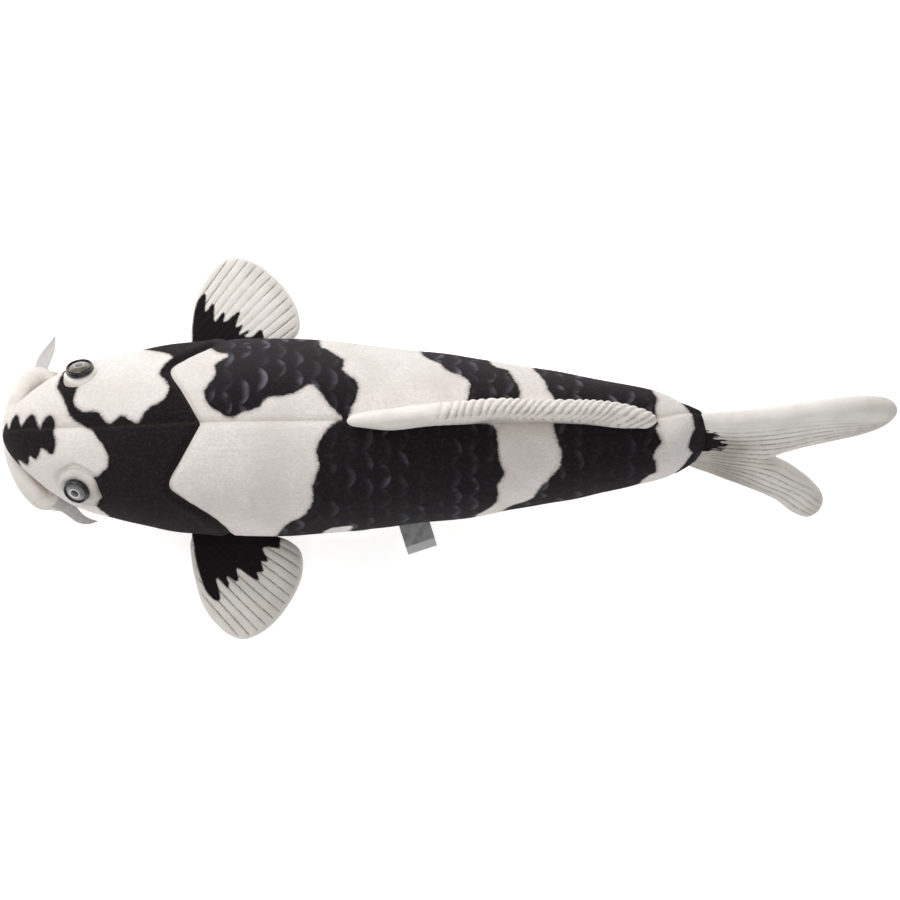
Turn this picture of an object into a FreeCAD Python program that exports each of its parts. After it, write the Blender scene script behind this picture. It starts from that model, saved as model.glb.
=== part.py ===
import FreeCAD, Part
import math
import os

from FreeCAD import Matrix, Rotation
from FreeCAD import Vector as V

# Stuffed koi carp soft toy: printed plush panels sewn round a fibre filling, padded fins sewn to the
# panels, button eyes on shanks with lock washers, stuffed lips with felt barbels, and a ribbon label.
# Millimetres. The origin is the middle of the flat that the belly rests on. +Z is up, the snout points
# to -X, so the fish's own left side is -Y.

# ---- driving dimensions -------------------------------------------------------------------------

# The trunk's sections: x, half width, height of the back, height of the belly, roll towards +Y in degrees,
# and how far the section lies towards +Y. The belly runs a little below zero, where the toy's weight
# presses it flat.
TRUNK = [
    (-164.0, 6.5, 48.0, 36.5, 0.0, 2.6),
    (-161.5, 10.8, 51.5, 33.0, 0.0, 2.5),
    (-157.0, 15.8, 55.0, 28.5, 0.0, 2.3),
    (-151.0, 21.0, 58.5, 24.0, 0.0, 2.1),
    (-143.0, 27.0, 62.5, 18.8, 0.0, 1.8),
    (-131.0, 33.8, 68.0, 12.5, 0.0, 1.3),
    (-114.0, 38.8, 74.5, 7.0, 0.0, 0.8),
    (-94.0, 43.4, 81.5, 2.5, 0.5, 0.3),
    (-70.0, 46.4, 88.0, -0.8, 1.0, 0.0),
    (-40.0, 47.4, 92.0, -2.4, 1.0, 0.0),
    (-8.0, 46.4, 93.0, -2.6, 1.0, 0.0),
    (24.0, 42.6, 91.0, -1.8, 1.0, 0.0),
    (56.0, 38.8, 87.0, 1.5, 1.5, 0.0),
    (90.0, 33.2, 81.0, 9.5, 4.0, 0.0),
    (120.0, 27.8, 75.5, 18.5, 8.0, 0.0),
    (143.0, 22.6, 70.5, 26.0, 12.0, 0.0),
    (158.0, 18.2, 66.5, 31.0, 14.0, 0.0),
    (167.5, 13.2, 62.0, 36.0, 15.0, 0.0),
    (172.0, 9.0, 57.5, 40.5, 15.0, 0.0),
]
WIDEST = 0.49           # share of a section's height where it is widest
SQUARENESS = 0.93       # power of the sine and cosine: below 1 is fuller than an ellipse
ROUND_POINTS = 20       # points round one section
SKIN = 1.8              # plush fabric, backing and pile
BELLY_SEAM = 38.0       # degrees below the widest line where the back panels meet the belly panel

# The rear edge of the gill covers in plan, one side: distance from the midline, x.
GILL_SEAM = [
    (0.0, -66.5), (9.0, -71.3), (18.0, -76.5), (25.5, -81.2), (29.5, -81.4),
    (33.0, -77.2), (37.5, -69.8), (42.5, -61.8), (52.0, -50.0), (70.0, -34.0),
]

EYE_X = -124.5
EYE_ANGLE = 41.0        # degrees round the section, up from the widest line
EYE_TILT = 44.0         # degrees from upright that an eye faces outwards
EYE_FORWARD = 14.0      # degrees that an eye faces forwards
EYE_RADIUS = 6.8
EYE_HEIGHT = 3.2
EYE_PAD_LONG = 10.6     # half length and half width of the raised plush round an eye
EYE_PAD_WIDE = 8.8
EYE_PAD_PROUD = 2.4
EYE_PAD_SUNK = 3.2
SHANK_RADIUS = 2.0
SHANK_LENGTH = 13.0
WASHER_RADIUS = 6.5
WASHER_THICK = 1.4
WASHER_DEPTH = 8.0      # from the eye's back face

LIP_RADIUS = 4.6        # upper lip
LIP_PATH = [(-160.2, 0.0), (-157.8, 12.0), (-153.4, 21.5), (-146.8, 28.4)]
LIP_SWAY = 2.0          # the mouth's middle lies this far towards +Y
LIP_Z = 33.0
LIP_FALL = 5.0          # the lip's corners lie this much lower than its middle
LOWER_LIP_RADIUS = 3.8
LOWER_LIP_Z = 25.0
LOWER_LIP_BACK = 4.0    # the lower lip lies this much further back

BARBEL_THICK = 1.0
BARBEL_LEFT = [(-139.4, -29.6), (-134.4, -33.6), (-128.0, -37.2), (-119.6, -39.6)]
BARBEL_RIGHT = [(-147.2, 36.4), (-145.4, 41.5), (-143.4, 46.8), (-140.6, 51.8)]
BARBEL_Z = 28.0
BARBEL_WIDE = 5.6

# A pectoral fin in plan, for the left side: u runs to the tail, v outwards from the hinge line.
PECTORAL = [
    (-18.6, 3.0), (-19.2, 8.6), (-17.2, 22.6), (-12.6, 37.1), (-3.0, 48.6), (7.0, 52.6),
    (18.8, 47.2), (28.6, 36.0), (35.0, 22.6), (35.0, 9.8), (28.6, 3.8), (18.0, 3.0),
]
PECTORAL_AT = (-57.5, 42.6, 16.8)   # the middle of the left fin's hinge line, with y turned outwards
PECTORAL_DROOP = 6.0
PECTORAL_TURN = {"left": 0.0, "right": -8.0}   # swing of the outline in plan, towards the tail
PECTORAL_THICK = 6.0

PELVIC = [
    (-10.0, 2.6), (-8.8, 6.2), (-4.0, 9.8), (5.0, 12.0), (16.0, 12.4), (24.5, 10.0),
    (25.6, 6.2), (18.0, 3.4), (10.0, 2.6),
]
PELVIC_AT = (-10.0, 28.8, 6.4)
PELVIC_DROOP = 5.0
PELVIC_THICK = 3.0

# The dorsal fin in its own plane: along its foot, and height over the foot.
DORSAL_FRONT_X = 3.0
DORSAL_REAR_X = 149.0
DORSAL = [
    (0.0, 3.5), (4.0, 9.5), (10.0, 15.5), (18.0, 21.0), (30.0, 29.4), (41.0, 33.6), (58.0, 32.4),
    (85.0, 27.0), (112.0, 21.6), (132.0, 17.4), (140.5, 14.6), (144.5, 9.6), (145.0, 3.5),
]
DORSAL_THICK = 8.4
DORSAL_GAP = 2.2        # from the back's highest line to the hinge line
DORSAL_LEAN = 5.0       # degrees that the fin leans to +Y

ANAL = [
    (-12.0, 1.8), (-9.5, 6.0), (-3.0, 11.0), (6.0, 14.2), (15.0, 14.0), (19.0, 9.5), (16.5, 4.6), (12.0, 1.8),
]
ANAL_AT = (112.0, -4.2, 14.6)
ANAL_THICK = 4.0
ANAL_LEAN = 7.0
ANAL_SLOPE = 16.5       # the belly rises this much towards the tail, in degrees

# The tail fin in its own plane: a runs away from the trunk, b upwards.
TAIL = [
    (2.0, 13.0), (22.0, 15.0), (40.0, 18.2), (60.0, 22.2), (76.0, 23.6), (87.0, 22.0), (91.5, 15.5),
    (87.0, 7.6), (76.0, 1.5), (60.0, -3.5), (45.0, -8.2), (35.5, -13.0), (43.5, -18.5), (55.0, -28.5),
    (61.8, -38.0), (61.5, -46.5), (55.5, -51.2), (47.5, -48.2), (38.0, -40.0), (24.0, -32.6), (2.0, -22.5),
]
TAIL_AT = (172.6, 1.0, 47.5)
TAIL_ROLL = 42.0        # degrees that the fin's top leans to +Y
TAIL_PITCH = 3.0        # degrees that the fin droops
TAIL_YAW = 0.0
TAIL_THICK = 9.6

COVER = 1.5             # each face of a padded fin
RIM = 0.8               # how far a fin's rim is rounded in, as a share of its half thickness

LABEL_AT = (30.8, -32.2, 11.6)
LABEL_WIDE = 15.0
LABEL_LONG = 22.0
LABEL_THICK = 0.7
LABEL_START = 1.2       # from the hinge line to the ribbon
LABEL_DROOP = 22.0
LABEL_TURN = 18.0

STITCH_X = (62.0, 98.0)
STITCH_STEP = 4.0
STITCH_LONG = 3.6
STITCH_RADIUS = 0.35

# ---- the trunk's surface ------------------------------------------------------------------------


def between(x, column):
    """A smooth value of one TRUNK column at x."""
    rows = TRUNK
    i = max(1, min(len(rows) - 1, next((k for k, r in enumerate(rows) if r[0] >= x), len(rows) - 1)))
    (x0, x1) = (rows[i - 1][0], rows[i][0])
    (v0, v1) = (rows[i - 1][column], rows[i][column])
    before = rows[max(i - 2, 0)]
    after = rows[min(i + 1, len(rows) - 1)]
    slope0 = (v1 - before[column]) / (x1 - before[0])
    slope1 = (after[column] - v0) / (after[0] - x0)
    t = (x - x0) / (x1 - x0)
    span = x1 - x0
    return (
        (2 * t**3 - 3 * t**2 + 1) * v0
        + (t**3 - 2 * t**2 + t) * slope0 * span
        + (3 * t**2 - 2 * t**3) * v1
        + (t**3 - t**2) * slope1 * span
    )


def trunk_point(x, degrees, inward=0.0):
    """A point of the trunk's section at x. Zero degrees is the right side, 90 the back."""
    half, back, belly, roll, sway = (between(x, c) for c in (1, 2, 3, 4, 5))
    half, back, belly = half - inward, back - inward, belly + inward
    middle = belly + WIDEST * (back - belly)
    c, s = math.cos(math.radians(degrees)), math.sin(math.radians(degrees))
    y = half * math.copysign(abs(c) ** SQUARENESS, c)
    z = (back - middle if s > 0 else middle - belly) * math.copysign(abs(s) ** SQUARENESS, s)
    r = math.radians(-roll)
    return V(x, sway + y * math.cos(r) - z * math.sin(r), middle + y * math.sin(r) + z * math.cos(r))


def trunk_middle(x):
    return (trunk_point(x, 90) + trunk_point(x, 270)) * 0.5


def section_wire(x, inward, at_x=None):
    points = [trunk_point(x, 360.0 * k / ROUND_POINTS, inward) for k in range(ROUND_POINTS)]
    shift = V((at_x if at_x is not None else x) - x, 0, 0)
    curve = Part.BSplineCurve()
    curve.interpolate([p + shift for p in points], PeriodicFlag=True)
    return Part.Wire([curve.toShape()])


def trunk_solid(inward):
    """The trunk drawn in by a skin's thickness all over, and cut flat where it rests."""
    low, high = TRUNK[0][0], TRUNK[-1][0]
    middle, shrink = (low + high) / 2, 1 - 2 * inward / (high - low)
    wires = [section_wire(r[0], inward, middle + (r[0] - middle) * shrink) for r in TRUNK]
    body = Part.makeLoft(wires, True, False)
    floor = Part.makeBox(400, 200, 50, V(-200, -100, inward - 50))
    return body.cut(floor)


# ---- small helpers ------------------------------------------------------------------------------


def save(name, shape):
    """Writes one node. A shape with several solids stays several solids."""
    solids = [s for s in shape.Solids if s.Volume > 0.02 * shape.Volume]
    whole = solids[0] if len(solids) == 1 else Part.makeCompound(solids)
    if not whole.isValid():
        print("NOT VALID", name)
    whole.exportStep(os.path.join("parts", name + ".step"))
    print(f"{name}: {len(solids)} solid, {whole.Volume / 1000:.2f} cm3, {whole.BoundBox}")


def corner_step(one, other):
    """The step in from a corner that moves both its sides in by one."""
    middle = (one + other).normalize()
    return middle / math.sin(one.getAngle(other) / 2)


def outline_wire(points, inset, z):
    """A smooth outline with one straight side, from the last point to the first, drawn in by inset."""
    curve = Part.BSplineCurve()
    curve.interpolate([V(x, y, 0) for x, y in points])
    foot = (V(*points[-1], 0) - V(*points[0], 0)).normalize()
    moved = []
    for k, (x, y) in enumerate(points):
        p = V(x, y, 0)
        way = curve.tangent(curve.parameter(p))[0]
        if k == 0:
            inward = corner_step(foot, way)
        elif k == len(points) - 1:
            inward = corner_step(foot * -1, way * -1)
        else:
            inward = V(way.y, -way.x, 0)
        moved.append(p + inward * inset + V(0, 0, z))
    rim = Part.BSplineCurve()
    rim.interpolate(moved)
    return Part.Wire([rim.toShape(), Part.LineSegment(moved[-1], moved[0]).toShape()])


def cushion(points, half_thick, inset, low=-1, high=1, roundness=RIM):
    """A flat padded shape with a rounded rim, between two shares of its half thickness."""
    wires = []
    for share in (-1.0, -0.9, -0.6, 0.0, 0.6, 0.9, 1.0):
        if low <= share <= high:
            rim = roundness * half_thick * (1 - math.sqrt(1 - share**2))
            wires.append(outline_wire(points, inset + rim, share * half_thick))
    return Part.makeLoft(wires, True, True)


def fin_layers(points, thick, padded=True, roundness=RIM):
    """(upper cover, lower cover, batting or None) of a sewn fin that lies in its own XY plane."""
    upper = cushion(points, thick / 2, 0.0, low=0, roundness=roundness)
    lower = cushion(points, thick / 2, 0.0, high=0, roundness=roundness)
    if not padded:
        return upper, lower, None
    batting = cushion(points, thick / 2 - COVER, COVER, roundness=roundness)
    return upper.cut(batting), lower.cut(batting), batting


def axes_matrix(origin, along, across):
    """Carries local X to along, local Y to across and the local origin to origin."""
    a = V(*along).normalize()
    n = a.cross(V(*across)).normalize()
    b = n.cross(a)
    return Matrix(a.x, b.x, n.x, origin.x, a.y, b.y, n.y, origin.y, a.z, b.z, n.z, origin.z, 0, 0, 0, 1)


def placed(shape, matrix):
    moved = shape.copy()
    moved.transformShape(matrix)
    return moved


# ---- skin and filling ---------------------------------------------------------------------------


def sector(corners):
    """A solid along the whole trunk from its middle line to far outside, between the given angles."""
    stations = [TRUNK[0][0] - 6] + [r[0] for r in TRUNK] + [TRUNK[-1][0] + 6]
    wires = []
    for x in stations:
        held = min(max(x, TRUNK[0][0]), TRUNK[-1][0])
        middle = trunk_middle(held)
        ring = [V(x, middle.y, middle.z)]
        for degrees in corners:
            way = trunk_point(held, degrees) - middle
            far = middle + way.normalize() * 130
            ring.append(V(x, far.y, far.z))
        wires.append(Part.makePolygon(ring + [ring[0]]))
    return Part.makeLoft(wires, True, True)


def head_block():
    """Everything ahead of the gill covers' rear edge."""
    rear = [V(x, -y, -30) for y, x in reversed(GILL_SEAM)] + [V(x, y, -30) for y, x in GILL_SEAM[1:]]
    curve = Part.BSplineCurve()
    curve.interpolate(rear)
    front = Part.makePolygon([rear[-1], V(-200, rear[-1].y, -30), V(-200, rear[0].y, -30), rear[0]])
    return Part.Face(Part.Wire([curve.toShape()] + front.Edges)).extrude(V(0, 0, 160))


def skin_panels(outer, inner):
    """The six plush panels, by name, cut from the one skin along its seams."""
    skin = outer.cut(inner)
    head, below = head_block(), sector([-BELLY_SEAM, -90, 180 + BELLY_SEAM])
    right = sector([90, 0, -90])
    panels = {}
    for part, upper_name, lower_name in (
        (skin.common(head), "head_panel", "head_underside_panel"),
        (skin.cut(head), "back_panel", "belly_panel"),
    ):
        upper = part.cut(below)
        panels[lower_name] = part.common(below)
        panels[upper_name + "_right"] = upper.common(right)
        panels[upper_name + "_left"] = upper.cut(right)
    return panels


# ---- eyes ---------------------------------------------------------------------------------------


def eye_matrix(side):
    """Local Z out of the eye, local X towards the tail. The origin is on the skin."""
    degrees = EYE_ANGLE if side == "right" else 180 - EYE_ANGLE
    at = trunk_point(EYE_X, degrees)
    sign = 1 if side == "right" else -1
    tilt, forward = math.radians(EYE_TILT), math.radians(EYE_FORWARD)
    out = V(-math.sin(forward), sign * math.sin(tilt) * math.cos(forward), math.cos(tilt) * math.cos(forward))
    tail = V(1, 0, 0) - out * out.x
    tail.normalize()
    up = out.cross(tail)
    return Matrix(
        tail.x, up.x, out.x, at.x, tail.y, up.y, out.y, at.y, tail.z, up.z, out.z, at.z, 0, 0, 0, 1
    )


def eye_pad():
    """Raised oval of plush that the eye sits on."""
    oval = Part.Ellipse(V(0, 0, 0), EYE_PAD_LONG, EYE_PAD_WIDE).toShape()
    pad = Part.Face(Part.Wire([oval])).extrude(V(0, 0, EYE_PAD_PROUD + EYE_PAD_SUNK))
    pad = pad.translated(V(0, 0, -EYE_PAD_SUNK))
    rim = [e for e in pad.Edges if e.CenterOfMass.z > EYE_PAD_PROUD - 0.01]
    return pad.makeFillet(EYE_PAD_PROUD * 0.8, rim)


def eye_button():
    """Black button with a stepped face and a shank."""
    low = EYE_PAD_PROUD
    disc = Part.makeCylinder(EYE_RADIUS, EYE_HEIGHT - 1.0, V(0, 0, low))
    collar = Part.makeCone(EYE_RADIUS, EYE_RADIUS - 1.0, 1.0, V(0, 0, low + EYE_HEIGHT - 1.0))
    shank = Part.makeCylinder(SHANK_RADIUS, SHANK_LENGTH, V(0, 0, low - SHANK_LENGTH))
    return disc.fuse([collar, shank]).removeSplitter()


def eye_lens():
    """Low dome over the iris, on the button's face."""
    face = EYE_PAD_PROUD + EYE_HEIGHT
    wide, tall = EYE_RADIUS - 1.2, 1.3
    ball = (wide**2 + tall**2) / (2 * tall)
    dome = Part.makeSphere(ball, V(0, 0, face + tall - ball))
    return dome.common(Part.makeCylinder(wide + 1, tall + 1, V(0, 0, face)))


def eye_washer():
    low = EYE_PAD_PROUD - WASHER_DEPTH - WASHER_THICK
    disc = Part.makeCylinder(WASHER_RADIUS, WASHER_THICK, V(0, 0, low))
    return disc.cut(Part.makeCylinder(SHANK_RADIUS, 3 * WASHER_THICK, V(0, 0, low - WASHER_THICK)))


# ---- mouth --------------------------------------------------------------------------------------


def lip(radius, height, back):
    """Stuffed roll round the front of the mouth, with round ends at the corners."""
    deepest = LIP_PATH[-1][1]
    right = [V(x + back, y, height - LIP_FALL * (y / deepest) ** 2) for x, y in LIP_PATH]
    left = [V(p.x, -p.y, p.z) for p in reversed(right[1:])]
    left, right = ([p + V(0, LIP_SWAY, 0) for p in half] for half in (left, right))
    curve = Part.BSplineCurve()
    curve.interpolate(left + right)
    path = Part.Wire([curve.toShape()])
    start = left[0]
    along = curve.tangent(curve.FirstParameter)[0]
    ring = Part.Wire([Part.makeCircle(radius, start, along)])
    tube = path.makePipeShell([ring], True, False)
    balls = [Part.makeSphere(radius, p) for p in (left[0], right[-1])]
    return tube.fuse(balls)


def barbel(route):
    """Tapered felt strip, flat from above."""
    curve = Part.BSplineCurve()
    curve.interpolate([V(x, y, 0) for x, y in route])
    steps = 12
    left, right = [], []
    for k in range(steps + 1):
        t = curve.FirstParameter + (curve.LastParameter - curve.FirstParameter) * k / steps
        p = curve.value(t)
        d = curve.tangent(t)[0]
        share = k / steps
        half = BARBEL_WIDE / 2 * (0.72 + 0.55 * math.sin(math.pi * min(1.0, share * 1.25)))
        half *= (1 - share**3) * 0.97 + 0.03
        side = V(-d.y, d.x, 0) * half
        left.append(p + side)
        right.append(p - side)
    edges = []
    for row in (left, right):
        rim = Part.BSplineCurve()
        rim.interpolate(row)
        edges.append(rim.toShape())
    ends = [Part.LineSegment(left[0], right[0]).toShape(), Part.LineSegment(left[-1], right[-1]).toShape()]
    face = Part.Face(Part.Wire([edges[0], ends[1], edges[1], ends[0]]))
    return face.extrude(V(0, 0, BARBEL_THICK)).translated(V(0, 0, BARBEL_Z - BARBEL_THICK / 2))


# ---- fins, label and stitches -------------------------------------------------------------------


def side_fin_matrix(at, droop, turn, sign):
    """Local X to the tail, local Y outwards and a little down. sign is +1 on the right side."""
    d, t = math.radians(droop), math.radians(turn)
    along = V(math.cos(t), -sign * math.sin(t), 0)
    out = V(math.sin(t) * math.cos(d), sign * math.cos(t) * math.cos(d), -math.sin(d))
    return axes_matrix(V(at[0], sign * at[1], at[2]), along, out)


def dorsal_line():
    """The dorsal fin's hinge line: its front and rear ends."""
    ends = []
    for x in (DORSAL_FRONT_X, DORSAL_REAR_X):
        ridge = trunk_point(x, 90)
        ends.append(V(x, ridge.y, ridge.z + DORSAL_GAP))
    return ends


def dorsal_matrix():
    front, rear = dorsal_line()
    lean = math.radians(DORSAL_LEAN)
    return axes_matrix(front, rear - front, V(0, math.sin(lean), math.cos(lean)))


def anal_matrix():
    lean, slope = math.radians(ANAL_LEAN), math.radians(ANAL_SLOPE)
    along = V(math.cos(slope), 0, math.sin(slope))
    return axes_matrix(V(*ANAL_AT), along, V(0, -math.sin(lean), -math.cos(lean)))


def tail_matrix():
    pitch, yaw, roll = (math.radians(a) for a in (TAIL_PITCH, TAIL_YAW, TAIL_ROLL))
    along = V(math.cos(pitch) * math.cos(yaw), math.sin(yaw), -math.sin(pitch))
    return axes_matrix(V(*TAIL_AT), along, V(0, math.sin(roll), math.cos(roll)))


def label_matrix():
    droop, turn = math.radians(LABEL_DROOP), math.radians(LABEL_TURN)
    along = V(math.cos(turn), math.sin(turn), 0)
    out = V(math.sin(turn) * math.cos(droop), -math.cos(turn) * math.cos(droop), -math.sin(droop))
    return axes_matrix(V(*LABEL_AT), along, out)


def label():
    """Ribbon folded double, with the fold at its outer end."""
    half = LABEL_THICK / 2
    gap = 0.12
    layers = [
        Part.makeBox(LABEL_WIDE, LABEL_LONG - half, half - gap / 2, V(-LABEL_WIDE / 2, LABEL_START, z))
        for z in (gap / 2, -half)
    ]
    fold = Part.makeCylinder(half, LABEL_WIDE, V(-LABEL_WIDE / 2, LABEL_LONG + LABEL_START - half, 0), V(1, 0, 0))
    return layers[0].fuse([layers[1], fold])


def closing_stitches():
    """The row of hand stitches that closes the left belly seam after filling."""
    bars = []
    count = int((STITCH_X[1] - STITCH_X[0]) / STITCH_STEP) + 1
    for k in range(count):
        x = STITCH_X[0] + k * STITCH_STEP
        low = trunk_point(x, 180 + BELLY_SEAM + 3.2)
        high = trunk_point(x + 0.8, 180 + BELLY_SEAM - 3.2)
        way = high - low
        middle = (low + high) * 0.5
        off = (middle - trunk_middle(x)).normalize() * (STITCH_RADIUS + 0.25)
        start = middle + off - way.normalize() * (STITCH_LONG / 2)
        bars.append(Part.makeCylinder(STITCH_RADIUS, STITCH_LONG, start, high - low))
    return Part.makeCompound(bars)


# ---- the whole toy ------------------------------------------------------------------------------


def main():
    os.makedirs("parts", exist_ok=True)
    outer, inner = trunk_solid(0.0), trunk_solid(SKIN)
    panels = skin_panels(outer, inner)
    filling = inner
    nodes = {}

    for side in ("left", "right"):
        matrix = eye_matrix(side)
        pad, button = placed(eye_pad(), matrix), placed(eye_button(), matrix)
        washer = placed(eye_washer(), matrix)
        panel = f"head_panel_{side}"
        for piece in (pad, button):
            panels[panel] = panels[panel].cut(piece)
            filling = filling.cut(piece)
        filling = filling.cut(washer)
        nodes[f"eye_pad_{side}"] = pad.cut(button)
        nodes[f"eye_button_{side}"] = button
        nodes[f"eye_lens_{side}"] = placed(eye_lens(), matrix)
        nodes[f"eye_washer_{side}"] = washer

    upper_lip, lower_lip = lip(LIP_RADIUS, LIP_Z, 0.0), lip(LOWER_LIP_RADIUS, LOWER_LIP_Z, LOWER_LIP_BACK)
    lower_lip = lower_lip.cut(upper_lip)
    for piece in (upper_lip, lower_lip):
        for name in ("head_panel_left", "head_panel_right", "head_underside_panel"):
            panels[name] = panels[name].cut(piece)
        filling = filling.cut(piece)
    nodes["upper_lip"], nodes["lower_lip"] = upper_lip, lower_lip
    nodes["barbel_left"], nodes["barbel_right"] = barbel(BARBEL_LEFT), barbel(BARBEL_RIGHT)
    nodes.update(panels)
    nodes["body_filling"] = filling

    for side, sign in (("left", -1), ("right", 1)):
        matrix = side_fin_matrix(PECTORAL_AT, PECTORAL_DROOP, PECTORAL_TURN[side], sign)
        upper, lower, batting = fin_layers(PECTORAL, PECTORAL_THICK)
        if sign < 0:
            upper, lower = lower, upper
        nodes[f"pectoral_fin_{side}_upper_cover"] = placed(upper, matrix)
        nodes[f"pectoral_fin_{side}_lower_cover"] = placed(lower, matrix)
        nodes[f"pectoral_fin_{side}_batting"] = placed(batting, matrix)
        matrix = side_fin_matrix(PELVIC_AT, PELVIC_DROOP, 0.0, sign)
        upper, lower, _ = fin_layers(PELVIC, PELVIC_THICK, padded=False)
        if sign < 0:
            upper, lower = lower, upper
        nodes[f"pelvic_fin_{side}_upper_cover"] = placed(upper, matrix)
        nodes[f"pelvic_fin_{side}_lower_cover"] = placed(lower, matrix)

    left_face, right_face, batting = fin_layers(DORSAL, DORSAL_THICK, roundness=0.4)
    matrix = dorsal_matrix()
    nodes["dorsal_fin_left_cover"] = placed(left_face, matrix)
    nodes["dorsal_fin_right_cover"] = placed(right_face, matrix)
    nodes["dorsal_fin_batting"] = placed(batting, matrix)

    right_face, left_face, _ = fin_layers(ANAL, ANAL_THICK, padded=False)
    matrix = anal_matrix()
    nodes["anal_fin_right_cover"] = placed(right_face, matrix)
    nodes["anal_fin_left_cover"] = placed(left_face, matrix)

    left_face, right_face, batting = fin_layers(TAIL, TAIL_THICK)
    matrix = tail_matrix()
    nodes["tail_fin_left_cover"] = placed(left_face, matrix)
    nodes["tail_fin_right_cover"] = placed(right_face, matrix)
    nodes["tail_fin_batting"] = placed(batting, matrix)

    nodes["side_label"] = placed(label(), label_matrix())
    nodes["closing_stitches"] = closing_stitches()

    for name in sorted(nodes):
        save(name, nodes[name])


main()
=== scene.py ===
import math

import bpy
import numpy as np
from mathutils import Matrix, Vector
from mathutils.geometry import delaunay_2d_cdt


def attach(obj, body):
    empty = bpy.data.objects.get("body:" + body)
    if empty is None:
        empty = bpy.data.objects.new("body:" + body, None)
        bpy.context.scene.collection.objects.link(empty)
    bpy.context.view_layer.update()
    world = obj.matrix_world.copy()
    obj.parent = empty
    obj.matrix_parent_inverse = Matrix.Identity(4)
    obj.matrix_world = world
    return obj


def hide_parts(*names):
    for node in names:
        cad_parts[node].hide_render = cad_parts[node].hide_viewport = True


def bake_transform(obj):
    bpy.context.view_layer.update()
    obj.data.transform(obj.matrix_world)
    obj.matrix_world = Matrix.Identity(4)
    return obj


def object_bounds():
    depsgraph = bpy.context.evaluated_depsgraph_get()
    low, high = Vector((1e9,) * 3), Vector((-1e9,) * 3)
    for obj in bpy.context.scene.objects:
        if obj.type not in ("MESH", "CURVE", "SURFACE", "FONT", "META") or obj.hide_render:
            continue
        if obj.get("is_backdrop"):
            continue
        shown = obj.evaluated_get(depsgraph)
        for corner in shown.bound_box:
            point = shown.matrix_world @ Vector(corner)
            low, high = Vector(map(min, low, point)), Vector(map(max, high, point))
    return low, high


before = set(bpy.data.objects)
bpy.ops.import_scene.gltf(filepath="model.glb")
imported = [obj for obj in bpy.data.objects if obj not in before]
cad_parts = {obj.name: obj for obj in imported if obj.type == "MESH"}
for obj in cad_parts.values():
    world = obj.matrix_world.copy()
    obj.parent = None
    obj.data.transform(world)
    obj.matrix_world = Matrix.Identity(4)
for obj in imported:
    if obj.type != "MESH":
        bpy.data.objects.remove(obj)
CAD_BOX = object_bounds()

# A stuffed koi carp soft toy. Lengths are millimetres until a mesh is made, and MM turns them into metres.
# The snout points to -X, the fish's own left side is -Y, and the belly rests on z = 0.
MM = 0.001

# ---- the trunk's driving sizes ---------------------------------------------------------------------

# x, half width, height of the back, height of the belly, roll towards +Y in degrees, shift towards +Y
TRUNK = [
    (-157.0, 15.8, 55.0, 28.5, 0.0, 2.3), (-151.0, 21.0, 58.5, 24.0, 0.0, 2.1),
    (-143.0, 27.0, 62.5, 18.8, 0.0, 1.8), (-131.0, 33.8, 68.0, 12.5, 0.0, 1.3),
    (-114.0, 38.8, 74.5, 7.0, 0.0, 0.8), (-94.0, 43.4, 81.5, 2.5, 0.5, 0.3),
    (-70.0, 46.4, 88.0, -0.8, 1.0, 0.0), (-40.0, 47.4, 92.0, -2.4, 1.0, 0.0),
    (-8.0, 46.4, 93.0, -2.6, 1.0, 0.0), (24.0, 42.6, 91.0, -1.8, 1.0, 0.0),
    (56.0, 38.8, 87.0, 1.5, 1.5, 0.0), (90.0, 33.2, 81.0, 9.5, 4.0, 0.0),
    (120.0, 27.8, 75.5, 18.5, 8.0, 0.0), (143.0, 22.6, 70.5, 26.0, 13.0, 0.0),
    (155.0, 18.8, 68.0, 29.2, 24.0, -0.2), (164.0, 12.6, 65.6, 29.4, 37.0, -1.0),
    (170.0, 9.0, 63.4, 27.4, 41.0, -1.8), (176.0, 6.5, 62.2, 26.0, 42.0, -2.3),
]
SNOUT_X = -157.0        # ahead of this the snout closes in a round tip
TIP_X = -165.8
TIP_HALF = 5.33         # half width and height at one millimetre from the tip; both grow as a square root
TIP_TALL = 8.93
TIP_RISE = 0.7          # the tip lies this much higher than the last section's middle
WIDEST = 0.49
SQUARENESS = 0.93
BELLY_SEAM = 38.0
CLOTH = 1.5             # plush cloth with its pile
END_X = 172.3           # the skin's rear edge, where it is sewn round the root of the tail
END_HALF = 4.4          # half the thickness left open there for the tail
END_ROUND = 7.5         # the length over which the skin rounds in to it

# The rear edge of the gill covers, one side: distance from the midline, x.
GILL = [
    (0.0, -66.5), (9.0, -71.3), (18.0, -76.5), (25.5, -81.2), (29.5, -81.4), (33.0, -77.2), (37.5, -69.8),
    (42.5, -61.8), (52.0, -50.0), (70.0, -34.0),
]

# ---- number helpers --------------------------------------------------------------------------------


def smooth_step(x, low, high):
    t = np.clip((x - low) / (high - low), 0, 1)
    return t * t * (3 - 2 * t)


def hill(x, width):
    return np.exp(-((x / width) ** 2))


def unit(rows):
    """Each row at length one."""
    return rows / np.maximum(np.linalg.norm(rows, axis=-1, keepdims=True), 1e-9)


def circle(count):
    return np.linspace(0, 2 * math.pi, count, endpoint=False)


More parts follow.
